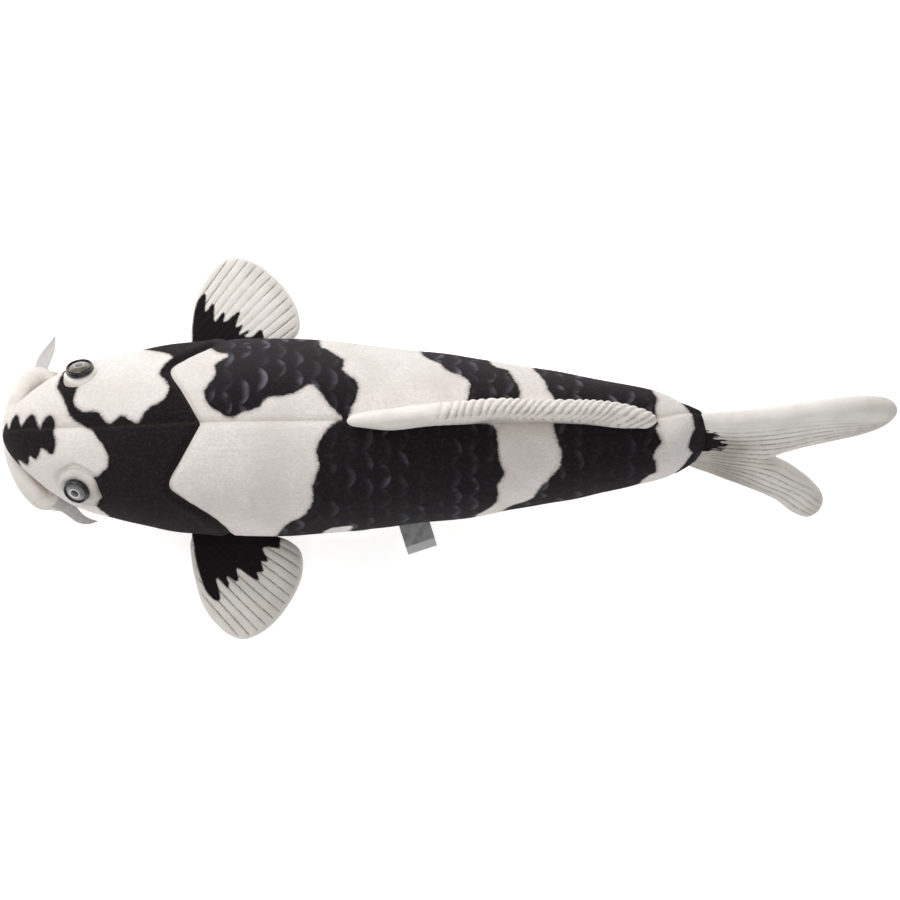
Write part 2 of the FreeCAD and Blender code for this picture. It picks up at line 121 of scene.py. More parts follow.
def smooth_row(stations, values, at):
    """A smooth curve through values at stations, read at each of at."""
    xs, v = np.asarray(stations, float), np.asarray(values, float)
    last = len(xs) - 1
    i = np.clip(np.searchsorted(xs, at), 1, last)
    before, after = np.maximum(i - 2, 0), np.minimum(i + 1, last)
    span = xs[i] - xs[i - 1]
    slope0 = (v[i] - v[before]) / (xs[i] - xs[before])
    slope1 = (v[after] - v[i - 1]) / (xs[after] - xs[i - 1])
    t = np.clip((at - xs[i - 1]) / span, 0, 1)
    return (
        (2 * t**3 - 3 * t**2 + 1) * v[i - 1]
        + (t**3 - 2 * t**2 + t) * slope0 * span
        + (3 * t**2 - 2 * t**3) * v[i]
        + (t**3 - t**2) * slope1 * span
    )


def smooth_line(points, count, closed=False):
    """A smooth line through points (two or three numbers each), count of them evenly spaced."""
    p = np.asarray(points, float)
    if closed:
        p = np.vstack([p[-2:], p, p[:3]])
    steps = np.sqrt(np.linalg.norm(np.diff(p, axis=0), axis=1))
    t = np.concatenate([[0], np.cumsum(steps)])
    low, high = (t[2], t[-3]) if closed else (t[0], t[-1])
    dense = np.linspace(low, high, 24 * len(p))
    line = np.stack([smooth_row(t, p[:, k], dense) for k in range(p.shape[1])], axis=1)
    run = np.concatenate([[0], np.cumsum(np.linalg.norm(np.diff(line, axis=0), axis=1))])
    even = np.linspace(0, run[-1], count + 1)[:-1] if closed else np.linspace(0, run[-1], count)
    return np.stack([np.interp(even, run, line[:, k]) for k in range(p.shape[1])], axis=1)


def inside_distance(loop, points):
    """Distance from each point to the loop, positive inside it."""
    a = np.asarray(loop, float)
    b = np.roll(a, -1, axis=0)
    out = np.empty(len(points))
    for first in range(0, len(points), 4000):
        p = points[first:first + 4000, None, :]
        way = b - a
        t = np.clip(((p - a) * way).sum(2) / np.maximum((way**2).sum(1), 1e-9), 0, 1)
        near = np.linalg.norm(p - a - t[..., None] * way, axis=2).min(1)
        crosses = (a[:, 1] > p[..., 1]) != (b[:, 1] > p[..., 1])
        rise = np.where(np.abs(way[:, 1]) < 1e-9, 1e-9, way[:, 1])
        hit = a[:, 0] + (p[..., 1] - a[:, 1]) * way[:, 0] / rise
        odd = (crosses & (p[..., 0] < hit)).sum(1) % 2 == 1
        out[first:first + 4000] = np.where(odd, near, -near)
    return out


def ripple(x, y, seed):
    """Smooth unevenness between -1 and 1, the same each run."""
    total = 0
    for k in range(4):
        turn = seed * 1.7 + k * 2.4
        along, across = math.cos(turn) * (1 + 0.37 * k), math.sin(turn) * (1 + 0.29 * k)
        total = total + np.sin(x * along + y * across + 5 * turn)
    return total / 4


# ---- mesh helpers ----------------------------------------------------------------------------------


def add_object(name, data):
    made = bpy.data.objects.new(name, data)
    bpy.context.scene.collection.objects.link(made)
    return made


def make_mesh(name, points, faces, material, fields=None, sharp=55):
    """A mesh object from points in millimetres. fields are values by name that its material reads."""
    mesh = bpy.data.meshes.new(name)
    mesh.from_pydata((np.asarray(points) * MM).tolist(), [], [list(f) for f in faces])
    mesh.update()
    mesh.polygons.foreach_set("use_smooth", [True] * len(mesh.polygons))
    mesh.set_sharp_from_angle(angle=math.radians(sharp))
    values = {"rest": np.asarray(points, float)}
    values.update(fields or {})
    for key, value in values.items():
        value = np.asarray(value, np.float32)
        kind = "FLOAT_VECTOR" if value.ndim == 2 else "FLOAT"
        attribute = mesh.attributes.new(key, kind, "POINT")
        attribute.data.foreach_set("vector" if value.ndim == 2 else "value", value.ravel())
    mesh.materials.append(material)
    return add_object(name, mesh)


def grid_faces(rows, columns, wrap=False, start=0):
    r = np.arange(rows - 1)[:, None]
    c = np.arange(columns if wrap else columns - 1)[None, :]
    right = (c + 1) % columns
    a, b = r * columns + c, r * columns + right
    d, e = (r + 1) * columns + right, (r + 1) * columns + c
    return (np.stack([a, b, d, e], axis=-1).reshape(-1, 4) + start).tolist()


def shell(name, outer, inner, material, fields):
    """A closed sheet with thickness, from two grids of points."""
    rows, columns = outer.shape[:2]
    count = rows * columns
    faces = grid_faces(rows, columns)
    faces += [f[::-1] for f in grid_faces(rows, columns, start=count)]
    index = np.arange(count).reshape(rows, columns)
    rim = np.concatenate([index[0, :-1], index[:-1, -1], index[-1, :0:-1], index[:0:-1, 0]])
    for one, two in zip(rim, np.roll(rim, -1)):
        faces.append([int(two), int(one), int(one + count), int(two + count)])
    points = np.concatenate([outer.reshape(-1, 3), inner.reshape(-1, 3)])
    doubled = {k: np.concatenate([v, v]) for k, v in fields.items()}
    return make_mesh(name, points, faces, material, doubled)


def axes(origin, along, across):
    """Rows that carry local x to along, local y to across and local z to their cross product."""
    a = unit(np.asarray(along, float))
    n = unit(np.cross(a, across))
    return np.asarray(origin, float), np.stack([a, np.cross(n, a), n])


def place(points, at):
    return at[0] + np.asarray(points) @ at[1]


def settle(piece, body, nodes, slot, joined=None, fill=None):
    """Ties a piece to its body, or, where joined is given, bakes its place into its mesh instead, and hides
    the parts it stands for. joined is (start, end) of the stretch that comes out of the trunk; only whether
    it is given counts.
    """
    if joined:
        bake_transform(piece)
    else:
        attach(piece, body)
    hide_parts(*nodes)


# ---- the trunk's surface ---------------------------------------------------------------------------


def section(x):
    """Half width, height over and under the widest line, its height, roll and shift, at each x."""
    x = np.asarray(x, float)
    rows = np.array(TRUNK)
    half, back, belly, roll, sway = (smooth_row(rows[:, 0], rows[:, c], x) for c in range(1, 6))
    middle = belly + WIDEST * (back - belly)
    reach = np.sqrt(np.maximum(x - TIP_X, 0))
    ahead = x < SNOUT_X
    half = np.where(ahead, TIP_HALF * reach, half)
    tall = np.where(ahead, TIP_TALL * reach, back - belly)
    middle = np.where(ahead, middle + TIP_RISE * (SNOUT_X - x) / (SNOUT_X - TIP_X), middle)
    return half, (1 - WIDEST) * tall, WIDEST * tall, middle, np.radians(-roll), sway


def rear_x(degrees):
    """The skin's rear edge, which slants forwards below."""
    s = np.sin(np.radians(degrees))
    return END_X + 3.6 * s - 5.7 * s * s


def section_frame(x, degrees, out=0.0):
    """A point in its section: sideways and upwards from the middle, before the section is rolled."""
    half, over, under, middle, roll, sway = section(x)
    c, s = np.cos(np.radians(degrees)), np.sin(np.radians(degrees))
    closing = np.sqrt(1 - np.clip(1 - (rear_x(degrees) - x) / END_ROUND, 0, 1) ** 2)
    half = np.where(closing < 1, END_HALF + (half - END_HALF) * closing, half)
    side = np.maximum(half + out, 0) * np.sign(c) * np.abs(c) ** SQUARENESS
    tall = np.where(s > 0, over, under)
    return side, np.maximum(tall + out, 0) * np.sign(s) * np.abs(s) ** SQUARENESS, middle, roll, sway


def trunk_point(x, degrees, out=0.0):
    side, up, middle, roll, sway = section_frame(x, degrees, out)
    y = sway + side * np.cos(roll) - up * np.sin(roll)
    z = middle + side * np.sin(roll) + up * np.cos(roll)
    return np.stack(np.broadcast_arrays(x, y, z), axis=-1)


def gill_x(degrees):
    """Where the gill seam crosses each angle."""
    gill = np.array(GILL)
    x = np.full_like(degrees, -68.0)
    for _ in range(14):
        x = smooth_row(gill[:, 0], gill[:, 1], np.abs(trunk_point(x, degrees)[..., 1]))
    return x


# ---- the printed pattern ---------------------------------------------------------------------------

# Outlines of the black print as it is seen from above: x, and the way across the back, measured round
# the sides past the widest line.
FAR = 96.0              # past the belly seam on either side
NOSE = [
    (-165.2, 2.4), (-163.6, 6.9), (-162.4, 4.0), (-161.2, 7.8), (-158.9, 10.9), (-157.5, 8.6),
    (-156.6, 5.3), (-154.4, 8.4), (-151.6, 11.2), (-149.4, 8.6), (-147.6, 4.4), (-145.8, 8.2),
    (-143.0, 10.4), (-140.3, 8.0), (-140.8, 2.4), (-139.8, -1.4), (-140.0, -6.0), (-141.6, -8.6),
    (-146.2, -5.6), (-148.8, -10.7), (-151.8, -9.2), (-153.0, -13.2), (-157.2, -11.1), (-155.4, -16.4),
    (-160.9, -11.1), (-165.5, -6.3),
]
MASK = [
    (-138.5, 28.2), (-140.0, 25.1), (-138.8, 22.1), (-136.3, 18.3), (-134.5, 13.5), (-132.7, 9.1),
    (-126.5, 5.4), (-122.2, 3.0), (-119.7, -0.7), (-115.4, -6.7), (-114.0, -11.1), (-114.9, -15.4),
    (-118.5, -18.2), (-122.2, -20.9), (-121.0, -23.4), (-119.2, -25.9), (-117.3, -29.9), (-119.2, -32.6),
    (-120.7, -33.7), (-114.4, -36.9), (-110.6, -44.8), (-108.0, -FAR), (-20.0, -FAR), (-20.0, FAR),
    (-135.0, FAR), (-134.0, 40.0),
]
CHEEK = [
    (-129.6, 24.6), (-131.4, 18.3), (-130.3, 14.7), (-127.1, 12.2), (-119.7, 12.2), (-115.4, 7.0),
    (-112.5, 7.0), (-108.2, 10.6), (-104.3, 8.4), (-100.0, 6.7), (-97.1, 12.0), (-93.2, 14.9),
    (-88.4, 17.8), (-85.5, 23.1), (-87.0, 27.0), (-90.4, 30.8), (-86.0, 36.6), (-83.6, 38.5),
    (-87.0, 40.4), (-96.6, 42.4), (-107.7, 43.8), (-112.5, 50.1), (-116.4, 58.7), (-118.0, FAR),
    (-150.0, FAR), (-140.0, 44.0), (-132.0, 34.0),
]
PATCH_A = [
    (-67.7, FAR), (-65.8, 45.3), (-56.7, 39.5), (-62.9, 35.6), (-63.4, 29.4), (-68.2, 23.1),
    (-66.8, 15.9), (-61.5, 12.0), (-55.7, 9.1), (-48.9, 12.0), (-42.2, 14.0), (-37.9, 18.8),
    (-29.7, 19.7), (-22.9, 22.1), (-17.2, 25.5), (-12.8, 21.7), (-7.5, 14.4), (-1.8, 9.1), (0.2, 5.7),
    (2.1, 12.0), (5.5, 20.2), (5.0, 27.0), (-1.8, 31.8), (-0.8, 36.6), (-9.0, 42.4), (-12.8, 46.3),
    (-11.4, FAR),
]
PATCH_B = [
    (0.2, 8.7), (-7.5, 4.8), (-11.9, -0.5), (-14.3, -6.3), (-12.8, -14.4), (-15.7, -22.6), (-15.7, -30.8),
    (-20.1, -38.0), (-28.2, -41.9), (-33.1, -47.7), (-36.4, -54.0), (-34.0, -FAR), (60.0, -FAR),
    (57.0, -50.0), (61.3, -38.5), (66.6, -35.6), (73.4, -30.3), (72.9, -23.1), (76.7, -18.3),
    (73.8, -10.6), (72.9, 0.5), (68.5, 6.3),
]
SPOT = [
    (-11.4, -47.0), (-7.5, -44.4), (-2.2, -43.5), (3.4, -43.0), (2.1, -45.2), (-3.7, -47.2),
    (-7.5, -51.0),
]
PATCH_C = [
    (34.8, FAR), (35.4, 46.7), (37.7, 39.0), (45.9, 35.1), (48.8, 31.8), (56.5, 28.9), (59.9, 26.0),
    (58.4, 17.8), (58.9, 9.5), (83.9, 9.5), (83.9, 18.3), (83.5, 24.1), (80.1, 28.9), (79.1, 31.8),
    (70.5, 35.1), (67.6, 44.3), (68.0, FAR),
]
PATCH_D = [
    (86.0, FAR), (87.8, 41.9), (91.2, 31.8), (96.0, 27.9), (96.0, 24.1), (100.8, 17.8), (102.2, 4.7),
    (148.9, 4.7), (148.9, 13.0), (150.9, 16.9), (148.0, 21.7), (141.7, 32.3), (140.0, FAR),
]
PATCH_E = [
    (102.2, 8.3), (100.8, 1.4), (103.7, -6.7), (103.2, -13.5), (98.9, -19.3), (93.1, -25.0),
    (89.2, -30.3), (76.2, -35.1), (69.5, -44.8), (66.0, -FAR), (140.0, -FAR), (138.5, -34.0),
    (142.7, -20.7), (149.9, -15.9), (148.0, -8.2), (152.8, -1.9), (148.9, 2.9), (148.9, 8.3),
]
BAND = [
    (161.5, 20.2), (162.4, 15.9), (166.8, 12.0), (168.2, 4.3), (165.8, -1.0), (164.8, -4.8),
    (166.8, -7.7), (162.7, -13.5), (159.1, -20.7),
]
VIEW_RISE = 0.139       # how far a point's height moves it across the back as it is seen
VIEW_FAR = 1400.0       # the distance it is seen from
VIEW_X = 50.0
VIEW_Z = 45.0


def seen(points):
    """The place of each point in a picture taken from above."""
    near = 1 / (1 - (points[..., 2] - VIEW_Z) * 0.99 / VIEW_FAR)
    x = VIEW_X + (points[..., 0] - VIEW_X) * near
    return x, (0.99 * points[..., 1] + VIEW_RISE * (points[..., 2] - VIEW_Z)) * near


def print_place(x, degrees):
    """Where each point of the trunk lies on the print."""
    right, left = 8.0, 188.0
    held = np.clip(degrees, right, left)
    across_x, across_y = seen(trunk_point(x, held))
    half, _, under, _, _, _ = section(x)
    past = np.radians(np.abs(degrees - held)) * (half + under) / 2
    across_y = across_y + np.where(degrees < right, past, 0) - np.where(degrees > left, past, 0)
    return across_x, across_y


def black_print(x, degrees, part):
    """Distance inside the black print, less than zero on white."""
    px, py = print_place(x, degrees)
    flat = np.stack([px.ravel(), py.ravel()], axis=1)

    def area(points):
        return inside_distance(smooth_line(points, 5 * len(points), closed=True), flat)

    if part == "head":
        value = np.maximum(area(NOSE), np.minimum(area(MASK), -area(CHEEK)))
    elif part == "back":
        lower = np.minimum(area(PATCH_B), -area(SPOT))
        value = np.maximum.reduce([area(PATCH_A), lower, area(PATCH_C), area(PATCH_D), area(PATCH_E)])
    else:
        value = np.full(len(flat), -60.0)
    if part != "head":
        band = np.array(BAND[::-1])
        edge = np.interp(flat[:, 1], band[:, 1], band[:, 0])
        value = np.maximum(value, flat[:, 0] - edge)
    return value.reshape(px.shape)


def along_cloth(value, points):
    """Turns distances seen from above into distances along the cloth, where the cloth slopes away."""
    down, across = np.gradient(points, axis=0), np.gradient(points, axis=1)
    rise, run = np.gradient(value)
    dd, aa, da = (down * down).sum(2), (across * across).sum(2), (down * across).sum(2)
    steep = (aa * rise**2 - 2 * da * rise * run + dd * run**2) / np.maximum(dd * aa - da**2, 1e-6)
    return value / np.clip(np.sqrt(np.maximum(steep, 0)), 0.22, 1.3)


# ---- eyes: where they sit --------------------------------------------------------------------------

EYE_X = -126.3
EYE_ANGLE = {"left": 139.8, "right": 41.0}
EYE_TILT = {"left": math.radians(46), "right": math.radians(50)}
EYE_FORWARD = {"left": math.radians(19), "right": math.radians(8)}
EYE_RADIUS = {"left": 6.5, "right": 6.8}
EYE_PAD = {"left": (11.0, 10.2), "right": (8.9, 8.3)}
EYE_PROUD = 1.8
EYE_HEIGHT = 2.7


def eye_axes(side):
    sign = 1 if side == "right" else -1
    tilt, forward = EYE_TILT[side], EYE_FORWARD[side]
    at = trunk_point(EYE_X, EYE_ANGLE[side])
    level = math.cos(forward)
    out = np.array([-math.sin(forward), sign * math.sin(tilt) * level, math.cos(tilt) * level])
    tail = unit(np.array([1.0, 0, 0]) - out * out[0])
    return at, np.stack([tail, np.cross(out, tail), out])


def pad_reach(angle, side):
    """Distance from the eye's middle to its pad's rim. The left pad has a corner towards the tail."""
    wide, tall = EYE_PAD[side]
    oval = 1 / np.hypot(np.cos(angle) / wide, np.sin(angle) / tall)
    if side == "right":
        return oval
    turn = angle + 0.35
    corners = 0.035 * np.cos(6 * turn) + 0.1 * hill(np.angle(np.exp(1j * turn)), 0.3)
    return oval * (1 + corners)


def pad_share(local, side):
    """How far out on the pad each point is: 0 in its middle, 1 at its rim."""
    x, y = local[..., 0], local[..., 1]
    return np.hypot(x, y) / pad_reach(np.arctan2(y, x), side)


# ---- stuffing the cloth ----------------------------------------------------------------------------

SWELL_FRAMES = 20
SWELL_PRESSURE = 4.0
SWELL_SLACK = 0.03
SWELL_MOST = 2.6        # no point of the cloth moves further than this
SEAMS = {-BELLY_SEAM: 90.0, 90.0: 180 + BELLY_SEAM, 180 + BELLY_SEAM: 360 - BELLY_SEAM}
CAGE_COLUMNS = {-BELLY_SEAM: 23, 90.0: 23, 180 + BELLY_SEAM: 19}
CAGE_ROWS = {"head": 24, "back": 46}


def inflate(points, faces, held):
    """Fills a closed cloth bag until it stands tight, and gives how far each point has moved."""
    mesh = bpy.data.meshes.new("cloth_bag")
    mesh.from_pydata((points * MM).tolist(), [], faces)
    bag = add_object("cloth_bag", mesh)
    scene = bpy.context.scene
    group = bag.vertex_groups.new(name="held")
    for index in np.flatnonzero(held > 0):
        group.add([int(index)], float(held[index]), "REPLACE")
    cloth = bag.modifiers.new("cloth", "CLOTH").settings
    cloth.quality = 6
    cloth.mass = 0.25
    cloth.tension_stiffness = 12
    cloth.compression_stiffness = 12
    cloth.shear_stiffness = 6
    cloth.bending_stiffness = 0.6
    cloth.shrink_min = -SWELL_SLACK
    cloth.vertex_group_mass = "held"
    cloth.use_pressure = True
    cloth.uniform_pressure_force = SWELL_PRESSURE
    cloth.effector_weights.gravity = 0
    for number in range(1, SWELL_FRAMES + 1):
        scene.frame_set(number)
    solved = bag.evaluated_get(bpy.context.evaluated_depsgraph_get()).data
    moved = np.empty(3 * len(points))
    solved.vertices.foreach_get("co", moved)
    moved = moved.reshape(-1, 3) / MM - points
    bpy.data.objects.remove(bag)
    bpy.data.meshes.remove(mesh)
    scene.frame_set(1)
    far = np.linalg.norm(moved, axis=1)[:, None]
    return moved * SWELL_MOST * np.tanh(far / SWELL_MOST) / np.maximum(far, 1e-6)


def refine(coarse, rows, columns):
    """A smooth grid of rows by columns through a coarse grid of vectors."""
    def weights(count, wanted):
        at = np.linspace(0, count - 1, wanted)
        return np.stack([smooth_row(np.arange(count), row, at) for row in np.eye(count)], axis=1)
    down, across = weights(coarse.shape[0], rows), weights(coarse.shape[1], columns)
    return np.einsum("ri,cj,ijk->rck", down, across, coarse)


def held_points(grid):
    """Which points of the cage can't move: both ends, the seams, and the cloth under the eye pads."""
    held = np.zeros(grid.shape[:2])
    held[:2] = held[-2:] = held[CAGE_ROWS["head"] - 1] = 1
    first = 0
    for count in CAGE_COLUMNS.values():
        held[:, first] = 1
        first += count - 1
    for side in ("left", "right"):
        at, turn = eye_axes(side)
        local = (grid - at) @ turn.T
        held[(pad_share(local, side) < 1) & (np.abs(local[..., 2]) < 15)] = 1
    return held


def bag_faces(rows, columns):
    """Faces of the cage, closed at both ends by a fan round one more point each."""
    faces = grid_faces(rows, columns, wrap=True)
    tip, last = rows * columns, (rows - 1) * columns
    for k in range(columns):
        after = (k + 1) % columns
        faces.append([after, k, tip])
        faces.append([last + k, last + after, tip + 1])
    return [f[::-1] for f in faces]


def stuff_skin():
    """How the filling swells each panel of the trunk between its seams, by panel kind and first angle."""
    parts = [np.linspace(low, high, CAGE_COLUMNS[low])[:-1] for low, high in SEAMS.items()]
    degrees = np.concatenate(parts)
    x = np.concatenate([
        stations("head", degrees, CAGE_ROWS["head"]),
        stations("back", degrees, CAGE_ROWS["back"])[1:],
    ])
    moved = np.zeros((*x.shape, 3))
    grid = trunk_point(x, np.broadcast_to(degrees, x.shape), -1.0)
    ends = np.stack([grid[0].mean(0), grid[-1].mean(0)])
    points = np.concatenate([grid.reshape(-1, 3), ends])
    held = np.append(held_points(grid).ravel(), [1, 1])
    moved = inflate(points, bag_faces(*x.shape), held)[:-2].reshape(grid.shape)
    closed = np.concatenate([moved, moved[:, :1]], axis=1)
    seam = CAGE_ROWS["head"] - 1
    swelling, first = {}, 0
    for low, count in CAGE_COLUMNS.items():
        swelling["head", low] = closed[:seam + 1, first:first + count]
        swelling["back", low] = closed[seam:, first:first + count]
        first += count - 1
    return swelling


# ---- skin panels -----------------------------------------------------------------------------------


GILL_SLANT = 0.78       # distance across the gill seam for each millimetre along the fish


def midline_distance(side, degrees):
    """Distance from the seam along the back, far away everywhere on the underside."""
    return np.abs(side) + 60 * (np.sin(np.radians(degrees)) < 0)


def panel_relief(x, degrees, part):
    """How far the stuffed cloth stands out of the plain trunk: seams, puckers and lumps."""
    side, up, _, _, _ = section_frame(x, degrees)
    radius = np.hypot(side, up)
    quiet = smooth_step(x, TIP_X, TIP_X + 14)
    top = midline_distance(side, degrees)
    low = radius * np.radians(np.minimum(np.abs(degrees + BELLY_SEAM), np.abs(degrees - 180 - BELLY_SEAM)))
    gill = (x - gill_x(degrees)) * GILL_SLANT
    out = -0.9 * hill(top, 1.5) - 0.5 * hill(top, 4.5)
    out = out - 1.1 * hill(low, 1.6) - 0.5 * hill(low, 5)
    out = out - 1.2 * hill(gill, 1.3) - 0.4 * hill(gill, 5)
    if part == "head":
        out = out + 0.55 * hill(gill + 4.0, 3.0)
    around = radius * np.radians(degrees)
    puckers = ripple(x / 1.7, around / 1.9, 3)
    out = out + 0.22 * puckers * (hill(top, 6) + hill(low, 7) + hill(gill, 6))
    out = out + 0.5 * ripple(x / 13, np.cos(np.radians(degrees)) * 3.1, 1) * quiet
    out = out + 0.22 * ripple(x / 5.1, around / 6.3, 2) * quiet
    return out * (0.25 + 0.75 * quiet)


def eye_sockets(points):
    """Draws the head's cloth in under each eye's pad, with a groove round it."""
    moved = points.copy()
    for side in ("left", "right"):
        at, turn = eye_axes(side)
        local = (points - at) @ turn.T
        share = pad_share(local, side)
        near = hill(local[..., 2], 14)
        sink = 2.2 * (1 - smooth_step(share, 0.7, 1.02)) + 0.9 * hill(share - 1.03, 0.11)
        moved -= (sink * near)[..., None] * turn[2]
    return moved


def stations(kind, degrees, rows):
    """The x of each row of a head or back panel at each angle, closer together on the round snout."""
    front, rear = np.full(len(degrees), TIP_X + 0.02), gill_x(degrees)
    if kind == "back":
        front, rear = rear, rear_x(degrees)
    run_front, run_rear = ((d + np.sqrt(d * d + 40 * d)) / 2 for d in (front - TIP_X, rear - TIP_X))
    run = run_front + (run_rear - run_front) * np.linspace(0, 1, rows)[:, None]
    return TIP_X + run * run / (run + 10)


def panel(name, part, low, high, columns, rows, material, nodes, swelling):
    """One plush panel of the trunk between two seams."""
    kind = "head" if part.startswith("head") else "back"
    degrees = np.linspace(low, high, columns)
    x = stations(kind, degrees, rows)
    degrees = np.broadcast_to(degrees, x.shape)
    relief = panel_relief(x, degrees, kind)
    outer = trunk_point(x, degrees, relief)
    inner = trunk_point(x, degrees, relief - CLOTH)
    swell = refine(swelling[kind, low], rows, columns)
    outer, inner = outer + swell, inner + swell
    if kind == "head":
        outer, inner = eye_sockets(outer), eye_sockets(inner)
    for grid in (outer, inner):
        grid[..., 2] = (grid[..., 2] + np.sqrt(grid[..., 2] ** 2 + 0.6)) / 2
    side, up, _, _, _ = section_frame(x, degrees)
    seams = [hill((x - gill_x(degrees)) * GILL_SLANT, 1.2), hill(midline_distance(side, degrees), 0.9)]
    for edge in (low, high):
        if edge != 90:
            seams.append(hill(np.hypot(side, up) * np.radians(degrees - edge), 1.3))
    half, over, _, _, _, _ = section(x)
    round_back = np.radians(90 - degrees) * (half + over) / 2
    fields = {
        "black": along_cloth(black_print(x, degrees, part), trunk_point(x, degrees)).ravel(),
        "seam": np.maximum.reduce(seams).ravel(),
        "scale": np.stack([x, round_back, np.zeros_like(x)], axis=-1).reshape(-1, 3),
    }
    piece = shell(name, outer, inner, material, fields)
    settle(piece, "trunk", nodes, "printed_plush", fill=0.9)


# ---- material helpers ------------------------------------------------------------------------------


def colour(red, green, blue):
    """A colour named by its 0 to 255 screen values."""
    values = (v / 255 for v in (red, green, blue))
    return tuple(((v + 0.055) / 1.055) ** 2.4 if v > 0.04 else v / 12.92 for v in values) + (1,)


class Value:
    """A number or colour that a material works out at each point of the surface."""

    def __init__(self, surface, socket):
        self.surface = surface
        self.socket = socket

    def __add__(self, other):
        return self.surface.math("ADD", self, other)

    def __sub__(self, other):
        return self.surface.math("SUBTRACT", self, other)

    def __mul__(self, other):
        return self.surface.math("MULTIPLY", self, other)


class Surface:
    """A material whose colour and bump come from nodes."""

    def __init__(self, name, roughness, sheen=0.0, coat=0.0, specular=0.5):
        self.material = bpy.data.materials.new(name)
        self.material.use_nodes = True
        self.tree = self.material.node_tree
        self.shader = self.tree.nodes["Principled BSDF"]
        values = {
            "Roughness": roughness,
            "Sheen Weight": sheen,
            "Sheen Roughness": 0.45,
            "Coat Weight": coat,
            "Coat Roughness": 0.06,
            "Specular IOR Level": specular,
        }
        for key, value in values.items():
            self.shader.inputs[key].default_value = value

    def plug(self, value, socket):
        if isinstance(value, Value):
            self.tree.links.new(value.socket, socket)
        else:
            socket.default_value = value

    def node(self, kind, sockets, output=0, **settings):
        made = self.tree.nodes.new(kind)
        for key, value in settings.items():
            setattr(made, key, value)
        for key, value in sockets.items():
            self.plug(value, made.inputs[key])
        return Value(self, made.outputs[output])

    def math(self, operation, *values):
        return self.node("ShaderNodeMath", dict(enumerate(values)), operation=operation)

    def vector(self, operation, *values, output=0):
        return self.node("ShaderNodeVectorMath", dict(enumerate(values)), output, operation=operation)

    def part(self, vector, axis):
        return self.node("ShaderNodeSeparateXYZ", {0: vector}, axis)

    def field(self, name):
        """A value stored at each point of the mesh."""
        return self.node("ShaderNodeAttribute", {}, "Fac", attribute_name=name)

    def vector_field(self, name):
        return self.node("ShaderNodeAttribute", {}, "Vector", attribute_name=name)

    def object_place(self):
        return self.node("ShaderNodeTexCoord", {}, "Object")

    def stretched(self, vector, factors):
        return self.vector("MULTIPLY", vector, factors)

    def noise(self, vector, scale, detail=2.0, roughness=0.5):
        sockets = {"Vector": vector, "Scale": scale, "Detail": detail, "Roughness": roughness}
        return self.node("ShaderNodeTexNoise", sockets, "Fac")

    def between(self, value, low, high, to_low=0.0, to_high=1.0):
        sockets = {"Value": value, "From Min": low, "From Max": high, "To Min": to_low, "To Max": to_high}
        return self.node("ShaderNodeMapRange", sockets, interpolation_type="SMOOTHSTEP")

    def mix(self, share, one, two):
        return self.node("ShaderNodeMix", {0: share, 6: one, 7: two}, 2, data_type="RGBA")

    def toned(self, base, tone, value, low, high, most):
        """The base with up to most of the tone over it, where the value goes from low to high."""
        return self.mix(self.between(value, low, high, 0.0, most), base, tone)

    def finish(self, base, height=None, strength=0.5, distance=0.4, roughness=None):
        """Joins the colour, the bump (distance in millimetres) and the roughness to the shader."""
        self.plug(base, self.shader.inputs["Base Color"])
        if roughness is not None:
            self.plug(roughness, self.shader.inputs["Roughness"])
        if height is not None:
            sockets = {"Height": height, "Strength": strength, "Distance": distance * MM}
            self.plug(self.node("ShaderNodeBump", sockets), self.shader.inputs["Normal"])
        return self.material


# ---- materials -------------------------------------------------------------------------------------

BLACK = colour(27, 23, 26)
# paler black: worn pile tips and tufts, and also painted light on the trunk's lit right side
BLACK_WORN_AND_LIT = colour(60, 55, 58)
WHITE = colour(254, 249, 245)
WHITE_SHADE = colour(226, 218, 213)
CREAM = colour(241, 236, 230)
CREAM_SHADE = colour(212, 204, 195)
GATHER = colour(255, 250, 244)
GATHER_SHADE = colour(238, 230, 221)
FIN = colour(245, 240, 235)
FIN_SHADE = colour(222, 216, 209)
BROWN = colour(124, 102, 88)
SCALE_SHINE = colour(134, 135, 145)
SCALE_PITCH_X = 16.5
SCALE_PITCH_Y = 13.4
SCALE_RADIUS = 7.0
SCALE_GLOW = 6.6            # width of the soft light inside a scale's edge


def pile_height(surface, rest, along=(0.55, 1.6, 1.6)):
    """Short plush pile: fine hairs that lie towards the tail, in loose tufts."""
    hairs = surface.noise(surface.stretched(rest, along), 2.6, 3.0, 0.65)
    tufts = surface.noise(surface.stretched(rest, (0.7, 1.0, 1.0)), 0.75)
    return hairs, tufts, hairs * 0.7 + tufts * 0.6


def black_pile(surface, hairs):
    return surface.toned(BLACK, BLACK_WORN_AND_LIT, hairs, 0.42, 0.8, 0.5)


def crescents(surface, place, rest):
    """Printed fish scales: staggered arcs that bow to the tail, clear in some places and gone in others."""
    total = None
    for shift in (0.0, 0.5):
        moved = surface.vector("ADD", place, (shift * SCALE_PITCH_X, shift * SCALE_PITCH_Y, 0))
        cell = surface.vector("SNAP", moved, (SCALE_PITCH_X, SCALE_PITCH_Y, 1))
        local = surface.vector("SUBTRACT", moved, cell)
        local = surface.vector("ADD", local, (-0.42 * SCALE_PITCH_X, -0.5 * SCALE_PITCH_Y, 0))
        away = surface.vector("LENGTH", local, output="Value")
        ahead = surface.part(local, 0)
        inner = surface.math("POWER", surface.between(away, SCALE_RADIUS - SCALE_GLOW, SCALE_RADIUS), 2.8)
        outer = surface.between(away, SCALE_RADIUS + 1.0, SCALE_RADIUS)
        arc = inner * outer * surface.between(ahead, 1.5, SCALE_RADIUS - 1)
        luck = surface.node("ShaderNodeTexWhiteNoise", {"Vector": cell}, "Value", noise_dimensions="3D")
        arc = arc * surface.between(luck, 0.1, 0.9, 0.15, 1.0)
        total = arc if total is None else surface.math("MAXIMUM", total, arc)
    return total * surface.between(surface.noise(rest, 0.12), 0.36, 0.56, 0.1, 1.0)


